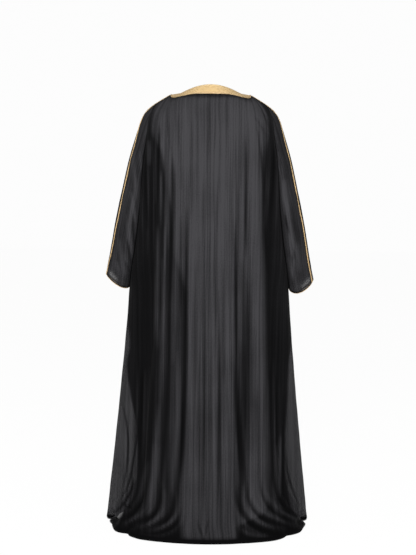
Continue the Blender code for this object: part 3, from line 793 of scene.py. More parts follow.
@dataclass(frozen=True)
class BodyForm:
    """The plain form that the panels hang on, with the steps that cut it into rows."""

    shoulder_steps: int = 12
    arm_steps: int = 46
    skirt_steps: int = 58
    floor_steps: int = 12
    seam_line_y: float = -0.022
    neck_half: float = 0.108
    band_half: float = 0.148
    shoulder_half: float = 0.205
    band_crest: float = 1.556
    band_foot: float = 1.549
    shoulder_crest: float = 1.515
    nape_top: float = 1.583
    nape_top_y: float = 0.055
    nape_peak: float = 2.4
    top_height: float = 1.42
    underarm_height: float = 0.845
    low_height: float = 0.10
    turn_height: float = 0.030
    hem_fold_share: float = 0.12
    hem_fade_height: float = 0.16
    valley_sharpness: float = 1.6

    def heights(self) -> np.ndarray:
        """Heights of the rows from the shoulder blades to the turn of the hem."""
        arm = np.linspace(self.top_height, self.underarm_height, self.arm_steps + 1)
        skirt = np.linspace(self.underarm_height, self.low_height, self.skirt_steps + 1)[1:]
        floor = np.linspace(self.low_height, self.turn_height, self.floor_steps + 1)[1:]
        return np.concatenate([arm, skirt, floor])

    def outline(self, height: float, angle: np.ndarray, face: Face) -> tuple[np.ndarray, np.ndarray]:
        """The body section at a height.

        Args:
            height: Height above the floor.
            angle: Angles, where a quarter turn is the side seam.
            face: The half of the cloak.

        Returns:
            Points of the section, and the way out from each.
        """
        half_width = falling(SECTIONS, "half_width", height)
        side = falling(SECTIONS, "side_" + face.value, height)
        depth = falling(SECTIONS, face.value, height) - side
        power = 2 / falling(SECTIONS, "roundness", height)
        across, along = np.sin(angle), np.clip(np.cos(angle), 0.0, 1.0)
        x = half_width * np.sign(across) * np.abs(across) ** power
        y = side + depth * along**power
        out_x = np.sign(across) * np.abs(across) ** (2 - power) / half_width
        out = unit(np.stack([out_x, along ** (2 - power) / depth, 0 * x], axis=-1))
        return np.stack([x, y, 0 * x + height], axis=-1), out

    def angle_of(self, height: float, x: float | np.ndarray) -> float | np.ndarray:
        """The angle at which the body section reaches this x.

        Args:
            height: Height above the floor.
            x: The place across.

        Returns:
            The angle.
        """
        share = np.clip(x / falling(SECTIONS, "half_width", height), -1.0, 1.0)
        return np.sign(share) * np.arcsin(np.abs(share) ** (falling(SECTIONS, "roundness", height) / 2))

    def hem_fade(self, height: float) -> float:
        """The share of their depth that the folds keep at this height."""
        return self.hem_fold_share + (1 - self.hem_fold_share) * float(ease(height, 0.0, self.hem_fade_height))

    def fold_value(self, fold: Fold, kind: str, height: float) -> float:
        """One value of a fold's valley.

        Args:
            fold: The fold.
            kind: "x" or "d".
            height: Height above the floor.

        Returns:
            The x or the depth there.
        """
        values = [getattr(fold, kind + part) for part in ("_yoke", "_chest", "_waist", "_knee", "_hem")]
        value = smooth(-height, [-h for h in FOLD_HEIGHTS], values)
        return value * self.hem_fade(height) if kind == "d" else value

    def valley_depths(self, depths: list[float], counts: tuple[int, ...]) -> np.ndarray:
        """Depth at each column, full at each anchor and falling off half way to the next.

        Args:
            depths: Depth at each anchor.
            counts: Columns between the anchors.

        Returns:
            The depths.
        """
        found = []
        for a, b, n in zip(depths, depths[1:], counts):
            t = np.arange(n) / n
            near, far = 0.5 + 0.5 * np.cos(math.pi * t), 0.5 - 0.5 * np.cos(math.pi * t)
            found.append(a * near**self.valley_sharpness + b * far**self.valley_sharpness)
        return np.concatenate([*found, [depths[-1]]])

    def over_shoulder(self, top: np.ndarray, leave: np.ndarray, below: np.ndarray) -> np.ndarray:
        """Rows that leave the top edge and turn down into the first body row.

        Args:
            top: Points of the top edge.
            leave: The handle by which the cloth leaves it.
            below: The first body row.

        Returns:
            The rows in between.
        """
        shares = np.linspace(0.0, 1.0, self.shoulder_steps + 1)[:-1]
        return np.array([bezier(top, top + leave, below + SHOULDER_LIFT, below, t) for t in shares])

    def shoulder_line(self, x: np.ndarray) -> np.ndarray:
        """The straight shoulder seam, at |x| from the band to the armhole."""
        share = (np.abs(x) - self.band_half) / (self.shoulder_half - self.band_half)
        z = self.band_foot + (self.shoulder_crest - self.band_foot) * share
        return np.stack([x, 0 * x + self.seam_line_y, z], axis=-1)

    def neck_edges(self, steps: int) -> tuple[np.ndarray, np.ndarray]:
        """The lower and the upper edge of the neckband, right to left.

        Args:
            steps: Steps along the band.

        Returns:
            Points of both edges.
        """
        turn = np.linspace(-1.0, 1.0, steps + 1)
        x, y, z = (by_share(NECK_FOOT, name, np.abs(turn)) for name in ("x", "y", "height"))
        lower = np.stack([np.sign(turn) * x, y, z], axis=-1)
        rise = np.clip(np.cos(turn * QUARTER), 0.0, 1.0)
        y = self.seam_line_y + (self.nape_top_y - self.seam_line_y) * rise**0.9
        z = self.band_crest + (self.nape_top - self.band_crest) * rise**self.nape_peak
        return lower, np.stack([self.neck_half * np.sin(turn * QUARTER), y, z], axis=-1)


BODY = BodyForm()


@dataclass(frozen=True)
class Sheerness:
    """The sheer places, where only thin cloth stands against the light."""

    side_blend: float = 0.005
    top_height: float = 0.73
    seam_strip: float = 0.013
    cuff_reach: float = 0.060

    def sides(self, points: np.ndarray, to_seam: np.ndarray) -> np.ndarray:
        """How sheer the lower sides of the body are.

        Args:
            points: Grid of points, with heights as z.
            to_seam: Distance of each from the side seam.

        Returns:
            The sheerness from 0 to 1.
        """
        height = points[..., 2]
        left, right = falling(SHEER_EDGES, "left", height), falling(SHEER_EDGES, "right", height)
        edge = np.where(points[..., 0] > 0, left, right)
        inside = ease(np.abs(points[..., 0]), edge - self.side_blend, edge + self.side_blend)
        inside = inside * ease(to_seam, self.seam_strip - 0.002, self.seam_strip + 0.002)
        return inside * ease(-height, -self.top_height, -self.top_height + 0.06)


SHEERNESS = Sheerness()


def off_middle(points: np.ndarray, side: Side) -> np.ndarray:
    """Moves points to where the tables of creases and light streaks put them.

    The wearer stands a little aside of the line that those tables were measured from.

    Args:
        points: Points with heights as z.
        side: The side that their positive x stands on.

    Returns:
        The moved points.
    """
    moved = points.copy()
    moved[..., 0] -= side.value * (ASIDE_AT_FLOOR + ASIDE_PER_METRE * points[..., 2])
    return moved


def hem_dent(points: np.ndarray, side: Side) -> np.ndarray:
    """How far each point of a row is drawn in where the hem is gathered on the floor.

    Args:
        points: A row of points of the back.
        side: The side that its positive x stands on.

    Returns:
        The depth at each point in metres.
    """
    total = np.zeros(len(points))
    for dent in HEM_DENTS:
        beside = np.sign(points[:, 0]) * side.value == dent.side.value
        total += beside * dent.depth * np.exp(-(((points[:, 1] - dent.y) / dent.width) ** 2))
    return total * (1 - ease(points[:, 2], 0.012, 0.070)) + HemTuck().at(points)


def crepe_ripple(run: np.ndarray, height: np.ndarray) -> np.ndarray:
    """The fine upright rippling of crepe cloth, in metres.

    Args:
        run: Distance across the cloth.
        height: Height of each point.

    Returns:
        How far each point stands out.
    """
    slow = 1.2 * np.sin(2.3 * height + 9.0 * run) + 0.8 * np.sin(5.1 * height - 4.0 * run)
    ripple = 0.34 * np.sin(run * 2 * math.pi / 0.017 + 2.0 * slow)
    ripple += 0.26 * np.sin(run * 2 * math.pi / 0.0113 - 1.7 * slow + 3.0 * height)
    ripple += 0.22 * np.sin(run * 2 * math.pi / 0.031 + 4.0 * np.sin(1.7 * height))
    return ripple / 1000


def declare(obj: bpy.types.Object, look: "Finish", solid: str | None = None) -> None:
    """Gives a piece its finish, hangs it on the root body and hides the solid that it stands for.

    Args:
        obj: The piece.
        look: Its finish.
        solid: The node that it stands for, if any.
    """
    obj.data.materials.append(look.material)
    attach(obj, "root")
    if solid is not None:
        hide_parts(solid)
    LOG.info("%s: %d faces", obj.name, len(obj.data.polygons))


@dataclass
class Cloth:
    """A sheet as a grid of outer points, with what its material reads at each of them."""

    points: np.ndarray
    side: Side = Side.LEFT
    thickness: float = 0.0012
    marks: dict[str, np.ndarray] = field(default_factory=dict)

    def __post_init__(self) -> None:
        """Takes the run and the fall of the cloth, and its normals, from the grid."""
        self.normals = grid_normals(self.points)
        self.run = self._distance(1)
        self.fall = self._distance(0)

    def _distance(self, axis: int) -> np.ndarray:
        """Distance along each row (axis 1) or column (axis 0) of the grid."""
        steps = np.linalg.norm(np.diff(self.points, axis=axis), axis=-1)
        first = np.zeros_like(np.take(steps, [0], axis=axis))
        return np.concatenate([first, np.cumsum(steps, axis=axis)], axis=axis)

    def press(self, depth: np.ndarray) -> None:
        """Presses the cloth in along its normals.

        Args:
            depth: How far at each point, in metres.
        """
        self.points = self.points - self.normals * depth[..., None]
        self.normals = grid_normals(self.points)

    def mesh_object(self, name: str, thickness: np.ndarray | None = None) -> bpy.types.Object:
        """Makes the sheet as a thin closed shell.

        Args:
            name: Name of the piece.
            thickness: Thickness at each point, where it isn't the same all over.

        Returns:
            The object, at the origin.
        """
        rows, cols = self.points.shape[:2]
        wall = (thickness if thickness is not None else np.full((rows, cols), self.thickness))[..., None]
        outer = (self.points * self.side.flip + DROP).reshape(-1, 3)
        inner = ((self.points - self.normals * wall) * self.side.flip + DROP).reshape(-1, 3)
        index = np.arange(rows * cols).reshape(rows, cols)
        quads = np.stack([index[:-1, :-1], index[1:, :-1], index[1:, 1:], index[:-1, 1:]], axis=-1)
        quads = quads.reshape(-1, 4)
        ring = np.concatenate([index[:, 0], index[-1, 1:], index[-2::-1, -1], index[0, -2:0:-1]])
        after = np.roll(ring, -1)
        rim = np.stack([ring, after, after + rows * cols, ring + rows * cols], axis=-1)
        # On the right the mirrored grid faces out in this order of corners. On the left it is turned round.
        if self.side is Side.LEFT:
            quads, rim = quads[:, ::-1], rim[:, ::-1]
        faces = np.concatenate([quads, quads[:, ::-1] + rows * cols, rim[:, ::-1]])
        mesh = bpy.data.meshes.new(name)
        mesh.from_pydata(np.concatenate([outer, inner]).tolist(), [], faces.tolist())
        mesh.validate()
        corners = np.empty(len(mesh.loops), np.int64)
        mesh.loops.foreach_get("vertex_index", corners)
        flat = np.stack([self.run - self.run[:, -1:] / 2, self.fall], axis=-1).reshape(-1, 2)
        layer = mesh.uv_layers.new(name="cloth")
        layer.data.foreach_set("uv", np.concatenate([flat, flat])[corners].ravel().astype(np.float32))
        for mark, values in self.marks.items():
            held = mesh.attributes.new(mark, "FLOAT", "POINT")
            held.data.foreach_set("value", np.tile(values.ravel(), 2).astype(np.float32))
        mesh.shade_smooth()
        obj = bpy.data.objects.new(name, mesh)
        bpy.context.scene.collection.objects.link(obj)
        return obj


@dataclass(frozen=True)
class Panel:
    """A body panel, with the valleys and creases of its half."""

    name: str
    face: Face
    side: Side
    columns: tuple[int, ...]
    flat: tuple[float, float]
    area: float

    def folds(self) -> tuple[Fold, ...]:
        """The valleys of this panel."""
        return BACK_FOLDS if self.face is Face.BACK else FRONT_FOLDS[self.side]

    def angles(self, height: float) -> np.ndarray:
        """The angle of each column at a height."""
        valleys = [BODY.angle_of(height, BODY.fold_value(fold, "x", height)) for fold in self.folds()]
        if self.face is Face.BACK:
            return spread([-QUARTER, *valleys, QUARTER], self.columns)
        outer = BODY.angle_of(height, falling(BAND_EDGES, "outer", height))
        return spread([QUARTER, *valleys, outer], self.columns)

    def depths(self, height: float) -> np.ndarray:
        """How deep each column is pressed in at a height."""
        inside = [BODY.fold_value(fold, "d", height) for fold in self.folds()]
        return BODY.valley_depths([0.0, *inside, 0.0], self.columns)

    def top(self) -> tuple[np.ndarray, np.ndarray]:
        """The top edge, and the handle by which the cloth leaves it."""
        half, end = BODY.band_half, BODY.shoulder_half
        if self.face is Face.FRONT:
            line = BODY.shoulder_line(np.linspace(end, half, sum(self.columns) + 1))
            return line, SHOULDER_LEAVE[self.face]
        right = BODY.shoulder_line(spread([-end, -half], self.columns[:1]))[:-1]
        left = BODY.shoulder_line(spread([half, end], self.columns[-1:]))[1:]
        line = np.concatenate([right, BODY.neck_edges(sum(self.columns[1:-1]))[0], left])
        crest = np.clip((np.abs(line[:, :1]) - 0.03) / (half - 0.03), 0.0, 1.0)
        return line, (1 - crest) * np.array([0.0, 0.014, -0.036]) + crest * SHOULDER_LEAVE[self.face]

    def hem_rows(self) -> list[np.ndarray]:
        """The rows below the last height: down to the floor and turned in under the edge."""
        angles, pressed = self.angles(0.0), self.depths(0.0)
        rows = []
        for share in (0.25, 0.5, 0.75):
            height = BODY.turn_height + (HEM_STEPS[0].height - BODY.turn_height) * share
            points, out = BODY.outline(BODY.turn_height * (1 - share), angles, self.face)
            points[:, 2] = height
            points = points - out * (pressed + self.dent(points))[:, None]
            rows.append(points)
        floor, out = BODY.outline(0.0, angles, self.face)
        drawn = pressed + self.dent(floor)
        for step in HEM_STEPS:
            points = floor + out * (step.out - drawn)[:, None]
            points[:, 2] = step.height
            rows.append(points)
        return rows

    def dent(self, points: np.ndarray) -> np.ndarray:
        """How far the gathers on the floor draw a row in; only the back has them."""
        return hem_dent(points, self.side) if self.face is Face.BACK else np.zeros(len(points))

    def cloth(self) -> Cloth:
        """The whole sheet with its folds, creases, ripple and marks."""
        body, depth_rows = [], []
        for height in BODY.heights():
            points, out = BODY.outline(height, self.angles(height), self.face)
            depth_rows.append(self.depths(height))
            body.append(points - out * (depth_rows[-1] + self.dent(points))[:, None])
        line, leave = self.top()
        shoulder = BODY.over_shoulder(line, leave, body[0])
        hem = self.hem_rows()
        sheet = Cloth(np.concatenate([shoulder, np.array(body), np.array(hem)]), self.side)
        fade = np.linspace(0.0, 1.0, len(shoulder))[:, None]
        below = np.tile(depth_rows[-1], (len(hem), 1))
        valleys = np.concatenate([fade * depth_rows[0], np.array(depth_rows), below])
        creases = BACK_CREASES if self.face is Face.BACK else FRONT_CREASES
        pressed = crease_depth(off_middle(sheet.points, self.side), creases)
        rim = self.edge_share(sheet.points)
        height = sheet.points[..., 2]
        ripple = crepe_ripple(sheet.points[..., 0] * 1.15 + 0.35 * valleys, height)
        ripple = ripple * ease(height, 0.012, 0.05)
        sheet.press((pressed - ripple) * rim)
        sheet.marks = self.marks(sheet, valleys, pressed)
        return sheet

    def marks(self, sheet: Cloth, valleys: np.ndarray, pressed: np.ndarray) -> dict[str, np.ndarray]:
        """What the material reads: its painted light and shade, how sheer, and where the turned hem is.

        Args:
            sheet: The panel's sheet.
            valleys: Depth of the large folds at each point.
            pressed: Depth of the creases at each point.

        Returns:
            The marks by name.
        """
        world = off_middle(sheet.points * self.side.flip, Side.LEFT)
        x, height = world[..., 0], world[..., 2]
        to_seam = sheet.run
        if self.face is Face.BACK:
            to_seam = np.minimum(sheet.run, sheet.run[:, -1:] - sheet.run)
            # Painted light: the middle of the back is painted lighter between these borders, over a little
            # painted light everywhere but at the floor.
            left, right, soft = (falling(PAINTED_LIT_EDGES, name, height) for name in ("left", "right", "soft"))
            between = ease(x, right - soft, right + soft) * ease(-x, -left - soft, -left + soft)
            painted_lit = 0.10 * ease(height, -0.01, 0.12) + 0.70 * between
            # Painted light: the lighter streaks of the back.
            painted_streak = painted_streak_share(world, BACK_PAINTED_LIGHTS)
        else:
            # The fronts get a low, even painted light and their own painted light streaks.
            painted_lit, painted_streak = 0.18 + 0.0 * x, painted_streak_share(sheet.points, FRONT_PAINTED_LIGHTS)
        sheer = SHEERNESS.sides(world, to_seam) * (1 - 0.8 * np.clip(pressed / 0.003, 0.0, 1.0))
        tone = 1 - (1 - painted_lit) * (1 - painted_streak)
        if self.face is Face.BACK:
            # Painted shade along the fold valleys, and painted shade that makes the back darker towards the
            # bottom.
            tone = tone * (1 - painted_streak_share(world, BACK_PAINTED_SHADES)) * (0.80 + 0.20 * ease(height, 0.0, 1.0))
        # Painted light: the sheer sides are painted lighter, for light coming through the thin cloth.
        tone = tone * (1 - sheer) + 0.72 * sheer
        # Painted shade in the deep fold valleys and in the creases, and a painted highlight on the raised ridges.
        tone = tone * (1 - 0.55 * np.clip(valleys / 0.034, 0.0, 1.0))
        tone = tone * (1 - 0.75 * np.clip(pressed / 0.0045, 0.0, 1.0))
        tone = tone + 0.16 * np.clip(-pressed / 0.002, 0.0, 1.0)
        # Darker along the side seams: partly the doubled cloth of the seam, partly painted shade where the cloth
        # turns away.
        tone = tone * (0.15 + 0.85 * ease(to_seam, 0.004, SHEERNESS.seam_strip))
        # Painted shadow under the neckband and the shoulder seams, in a wider band towards the shoulders.
        tone = tone * (0.22 + 0.78 * ease(sheet.fall, 0.004, 0.026 + 0.05 * ease(np.abs(x), 0.10, 0.17)))
        return {"sheer": sheer, "tone": np.clip(tone, 0.0, 1.0), "trim": 1 - ease(height, 0.016, 0.022)}

    def edge_share(self, points: np.ndarray) -> np.ndarray:
        """Falls to 0 at the edges that meet another piece, so that the seams stay shut."""
        rows, cols = points.shape[:2]
        across = np.minimum(np.arange(cols), np.arange(cols)[::-1]) / 4
        down = np.minimum(np.arange(rows) / 5, 1.0)
        return np.clip(across, 0.0, 1.0)[None, :] * down[:, None]

    def build(self, look: "Crepe") -> bpy.types.Object:
        """Args:
            look: The cloth's finish.

        Returns:
            The object.
        """
        sheet = self.cloth()
        wall = 0.0012 + 0.0009 * sheet.marks["trim"]
        obj = sheet.mesh_object("cloth_" + self.name, wall)
        declare(obj, look, self.name)
        return obj


@dataclass(frozen=True)
class Sleeve:
    """A sleeve corner, from the back armhole over the ridge to the front armhole."""

    side: Side
    columns: int = 44
    rows: int = 96
    over_start: float = 0.34
    over_end: float = 0.13
    flat: tuple[float, float] = (0.44, 0.72)
    area: float = 0.17

    def shoulder_curve(self, face: Face, t: float) -> np.ndarray:
        """A point of the armhole edge between the shoulder seam and the top of the body."""
        top = BODY.shoulder_line(np.array([BODY.shoulder_half]))[0]
        below = BODY.outline(BODY.top_height, np.array([QUARTER]), face)[0][0]
        return bezier(top, top + SHOULDER_LEAVE[face], below + SHOULDER_LIFT, below, t)

    def armhole(self, face: Face, rows: np.ndarray) -> np.ndarray:
        """The armhole edge of one half, at places along it from the shoulder down.

        Args:
            face: The half of the cloak.
            rows: Places from 0, a third of the way over the shoulder, to 1, under the arm.

        Returns:
            Points of the edge.
        """
        points = []
        for place in rows:
            if place < self.over_end:
                t = self.over_start + (1 - self.over_start) * place / self.over_end
                points.append(self.shoulder_curve(face, t))
            else:
                share = (place - self.over_end) / (1 - self.over_end)
                height = BODY.top_height + (BODY.underarm_height - BODY.top_height) * share
                points.append(BODY.outline(height, np.array([QUARTER]), face)[0][0])
        return np.array(points)

    def crest_curve(self, face: Face, steps: np.ndarray) -> np.ndarray:
        """The short piece of armhole edge between the shoulder point and the sleeve's first row."""
        return np.array([self.shoulder_curve(face, self.over_start * (1 - s)) for s in steps])

    def ridge(self, shares: np.ndarray) -> np.ndarray:
        """The ridge line at shares of its length."""
        points = np.array(RIDGE, float)
        length = length_along(points)
        line = np.stack([smooth(shares * length[-1], length, points[:, k]) for k in range(3)], axis=-1)
        cuff = CUFFS[self.side]
        return line + shares[:, None] ** 3 * np.array([cuff.out, 0.0, -cuff.drop])

    def lobe(self, edge: np.ndarray, ridge: np.ndarray, bulge: float, steps: np.ndarray) -> np.ndarray:
        """The sleeve's bulged section from the armhole edge out to the ridge."""
        reach, side = ridge - edge, np.array([0.0, bulge, 0.0])
        return np.array([
            bezier(edge, edge + reach * 0.22 + side, ridge - reach * 0.12 + side, ridge, t) for t in steps
        ])

    def grid(self) -> tuple[np.ndarray, np.ndarray]:
        """The sleeve as a grid of points, and the share of the way down of each row."""
        places = np.linspace(0.0, 1.0, self.rows + 1)
        steps = np.linspace(0.0, 1.0, self.columns + 1)
        edges = {face: self.armhole(face, places) for face in Face}
        crests = {face: self.crest_curve(face, steps) for face in Face}
        length = length_along(edges[Face.BACK])
        shares = length / length[-1]
        ridge, cuff = self.ridge(shares), CUFFS[self.side]
        rows = []
        for k, share in enumerate(shares):
            halves = []
            for face, sign in ((Face.BACK, 1.0), (Face.FRONT, -1.0)):
                edge = edges[face][k]
                curve = self.lobe(edge, ridge[k], sign * by_share(BULGES, face.value, share), steps)
                bend = float(ease(share, 0.0, 0.10)) ** 0.5
                start = crests[face] + (edge - edges[face][0]) * (1 - steps)[:, None]
                start += (ridge[k] - ridge[0]) * steps[:, None]
                halves.append(start + (curve - start) * bend)
            row = np.concatenate([halves[0], halves[1][::-1][1:]])
            away = 1 - np.abs(np.linspace(-1.0, 1.0, len(row)))
            row[:, 2] -= cuff.sag * share**8 * np.sin(math.pi * away**0.8)
            press = sum(
                d.depth * np.exp(-(((share - d.at_armhole - (d.at_ridge - d.at_armhole) * away) / d.spread) ** 2))
                for d in DRAPES
            )
            sign = np.sign(row[:, 1] - ridge[k, 1])
            row[:, 1] -= sign * press * np.sin(math.pi * away) ** 2 * min(share / 0.1, 1.0)
            rows.append(row)
        return np.array(rows), shares

    def cloth(self) -> tuple[Cloth, np.ndarray]:
        """The sheet with its creases, ripple and marks, and the share of the way down of each row."""
        points, shares = self.grid()
        sheet = Cloth(points, self.side)
        rows, cols = points.shape[:2]
        edge = np.clip(np.minimum(np.arange(cols), np.arange(cols)[::-1]) / 4, 0.0, 1.0)[None, :]
        edge = edge * np.clip(np.arange(rows) / 6, 0.0, 1.0)[:, None]
        seen = off_middle(points, self.side)
        pressed = crease_depth(seen, SLEEVE_CREASES[self.side])
        ripple = crepe_ripple(sheet.run, sheet.points[..., 2] * 1.4)
        sheet.press((pressed - ripple) * edge)
        to_cuff = sheet.fall[-1:] - sheet.fall
        across = np.clip(np.minimum(sheet.run, sheet.run[:, -1:] - sheet.run) / 0.04, 0.0, 1.0)
        sheer = ease(-to_cuff, -SHEERNESS.cuff_reach, -0.012) * ease(to_cuff, 0.0055, 0.0075) * across * 0.8
        away = 1 - np.abs(np.linspace(-1.0, 1.0, cols))[None, :]
        patch_top = -0.042 + 0.014 * np.abs(away - 0.7) / 0.2
        patch = ease(away, 0.42, 0.56) * ease(-away, -0.88, -0.80) * ease(-to_cuff, patch_top, -0.018)
        sheer = sheer + 0.9 * patch * ease(to_cuff, 0.0055, 0.0075)
        # Painted light and shade on the sleeve: a base level with lighter streaks, painted shade in the creases,
        # towards the ridge where the cloth turns over, and in the valleys at the armholes.
        tone = 1 - (1 - SLEEVE_BASE_PAINTED_LIGHT[self.side]) * (1 - painted_streak_share(seen, SLEEVE_PAINTED_LIGHTS[self.side]))
        tone = tone * (1 - 0.75 * np.clip(pressed / 0.003, 0.0, 1.0)) * (1 - 0.85 * ease(away, 0.80, 0.90))
        tone = tone * (0.25 + 0.75 * ease(away, 0.02, 0.12))
        sheet.marks = {
            "sheer": sheer,
            # Painted light: the sheer parts are painted lighter, for light coming through the thin cloth.
            "tone": np.clip(tone + (0.6 - tone) * np.minimum(sheer, 1.0), 0.0, 1.0),
            "trim": 1 - ease(to_cuff, 0.0050, 0.0062),
        }
        return sheet, shares

    def build(self, look: "Crepe") -> tuple[bpy.types.Object, Cloth, np.ndarray]:
        """Args:
            look: The cloth's finish.

        Returns:
            The object, its sheet, and the share of the way down of each row.
        """
        sheet, shares = self.cloth()
        wall = 0.0011 + 0.0012 * sheet.marks["trim"]
        obj = sheet.mesh_object("cloth_sleeve_" + self.side.word, wall)
        declare(obj, look, "sleeve_" + self.side.word)
        return obj, sheet, shares


@dataclass(frozen=True)
class BandProfile:
    """The relief across a gold band: a raised edge cord, a field and a fine line by the other edge."""

    cord_place: float = 0.05
    cord_spread: float = 0.035
    cord_rise: float = 0.0013
    field_rise: float = 0.0005
    line_place: float = 0.93
    line_rise: float = 0.0004

    def rise(self, shares: np.ndarray) -> np.ndarray:
        """How far the band stands proud at shares of its width."""
        rope = self.cord_rise * np.exp(-(((shares - self.cord_place) / self.cord_spread) ** 2))
        centre = self.field_rise * ease(shares, 0.12, 0.20) * ease(-shares, -0.92, -0.84)
        line = self.line_rise * np.exp(-(((shares - self.line_place) / 0.02) ** 2))
        return rope + centre + line


@dataclass(frozen=True)
class Neckband:
    """The gold embroidered band round the nape."""

    along: int = 320
    across: int = 26
    flat: tuple[float, float] = (0.36, 0.041)
    profile: BandProfile = BandProfile()

    def cloth(self) -> Cloth:
        """The band as a sheet, lower edge first."""
        lower, upper = BODY.neck_edges(self.along)
        shares = np.linspace(0.0, 1.0, self.across + 1)
        points = lower[:, None] + (upper - lower)[:, None] * shares[None, :, None]
        sheet = Cloth(points, Side.LEFT, 0.0016)
        sheet.press(-np.tile(self.profile.rise(shares), (len(points), 1)))
        sheet.marks = {
            "share": np.tile(shares, (len(points), 1)),
            "length": np.tile(sheet.fall[:, :1], (1, len(shares))),
        }
        return sheet

    def build(self, look: "GoldEmbroidery") -> tuple[bpy.types.Object, Cloth]:
        """Args:
            look: The embroidery's finish.

        Returns:
            The object and its sheet.
        """
        sheet = self.cloth()
        obj = sheet.mesh_object("gold_neckband")
        declare(obj, look, "neckband")
        return obj, sheet


@dataclass(frozen=True)
class FrontBand:
    """The gold band down a front edge, narrower below the waist."""

    side: Side
    across: int = 26
    flat: tuple[float, float] = (0.041, 1.60)
    area: float = 0.0434
    profile: BandProfile = BandProfile()

    def cloth(self) -> Cloth:
        """The band as a sheet, outer edge first."""
        shares = np.linspace(0.0, 1.0, self.across + 1)
        rows = []
        for height in BODY.heights():
            rows.append(BODY.outline(height, self.angles(height, shares), Face.FRONT)[0])
        lower, upper = BODY.neck_edges(8)
        top = lower[-1] + (upper[-1] - lower[-1]) * shares[:, None]
        shoulder = BODY.over_shoulder(top, SHOULDER_LEAVE[Face.FRONT], rows[0])
        floor, out = BODY.outline(0.0, self.angles(0.0, shares), Face.FRONT)
        hem = []
        for step in HEM_STEPS:
            points = floor + out * step.out
            points[:, 2] = step.height
            hem.append(points)
        sheet = Cloth(np.concatenate([shoulder, np.array(rows), np.array(hem)]), self.side, 0.0016)
        height = sheet.points[..., 2]
        sheet.press(-self.profile.rise(shares)[None, :] * (0.3 + 0.7 * ease(height, 0.76, 0.86)))
        sheet.marks = {
            "share": np.tile(shares, (len(sheet.points), 1)),
            "length": np.tile(sheet.fall[:, :1], (1, len(shares))),
        }
        return sheet

    def angles(self, height: float, shares: np.ndarray) -> np.ndarray:
        """Angles across the band, from its outer edge to its inner one."""
        outer = BODY.angle_of(height, falling(BAND_EDGES, "outer", height))
        inner = BODY.angle_of(height, falling(BAND_EDGES, "inner", height))
        return outer + (inner - outer) * shares

    def build(self, look: "GoldEmbroidery") -> bpy.types.Object:
        """Args:
            look: The embroidery's finish.

        Returns:
            The object.
        """
        obj = self.cloth().mesh_object("gold_front_band_" + self.side.word)
        declare(obj, look, "front_band_" + self.side.word)
        return obj


@dataclass(frozen=True)
class TwistedCord:
    """A cord of twisted gold thread sewn along a line."""

    radius: float
    pitch: float
    steps_per_turn: int = 7
    around: int = 8
    flatten: float = 0.82

    def resample(self, line: np.ndarray, normals: np.ndarray) -> tuple[np.ndarray, np.ndarray]:
        """The line and its normals at even steps.

        Args:
            line: Points of the line.
            normals: Outward normals there.

        Returns:
            Both, at steps short enough for the twist.
        """
        length = length_along(line)
        count = max(int(length[-1] / self.pitch * self.steps_per_turn), 8)
        at = np.linspace(0.0, length[-1], count)
        points = np.stack([np.interp(at, length, line[:, k]) for k in range(3)], axis=-1)
        ways = np.stack([np.interp(at, length, normals[:, k]) for k in range(3)], axis=-1)
        return points, unit(ways)

    def rings(self, line: np.ndarray, normals: np.ndarray) -> tuple[np.ndarray, np.ndarray]:
        """The rings of the cord, and the distance of each along it."""
        points, ways = self.resample(line, normals)
        ahead = unit(np.gradient(points, axis=0))
        across = unit(np.cross(ahead, ways))
        step = length_along(points)
        turn = np.linspace(0.0, 2 * math.pi, self.around, endpoint=False)
        twist = 2 * math.pi * step / self.pitch
        size = self.radius * (0.74 + 0.26 * np.abs(np.cos(turn[None, :] - twist[:, None] / 2)))
        side = (size * np.cos(turn)[None, :])[..., None] * across[:, None]
        rise = (size * np.sin(turn)[None, :] * self.flatten)[..., None] * ways[:, None]
        return points[:, None] + side + rise, step

    def mesh_object(self, name: str, runs: list[tuple[np.ndarray, np.ndarray]], side: Side) -> bpy.types.Object:
        """Makes one object of one or more cords laid side by side.

        Args:
            name: Name of the piece.
            runs: For each cord, the points and normals of its line.
            side: The side of the cloak.

        Returns:
            The object, at the origin.
        """
        points, faces, marks = [], [], []
        for line, normals in runs:
            ring, step = self.rings(line, normals)
            rows, cols = ring.shape[:2]
            start = sum(len(p) for p in points)
            index = start + np.arange(rows * cols).reshape(rows, cols)
            after = np.roll(index, -1, axis=1)
            quads = np.stack([index[:-1], after[:-1], after[1:], index[1:]], axis=-1).reshape(-1, 4)
            faces += quads.tolist() + [index[0][::-1].tolist(), index[-1].tolist()]
            points.append(ring.reshape(-1, 3))
            marks.append(np.repeat(step, cols))
        mesh = bpy.data.meshes.new(name)
        mesh.from_pydata((np.concatenate(points) * side.flip + DROP).tolist(), [], faces)
        held = mesh.attributes.new("length", "FLOAT", "POINT")
        held.data.foreach_set("value", np.concatenate(marks).astype(np.float32))
        mesh.shade_smooth()
        obj = bpy.data.objects.new(name, mesh)
        bpy.context.scene.collection.objects.link(obj)
        bpy.ops.object.select_all(action="DESELECT")
        obj.select_set(True)
        bpy.context.view_layer.objects.active = obj
        bpy.ops.object.mode_set(mode="EDIT")
        bpy.ops.mesh.select_all(action="SELECT")
        bpy.ops.mesh.normals_make_consistent(inside=False)
        bpy.ops.object.mode_set(mode="OBJECT")
        return obj


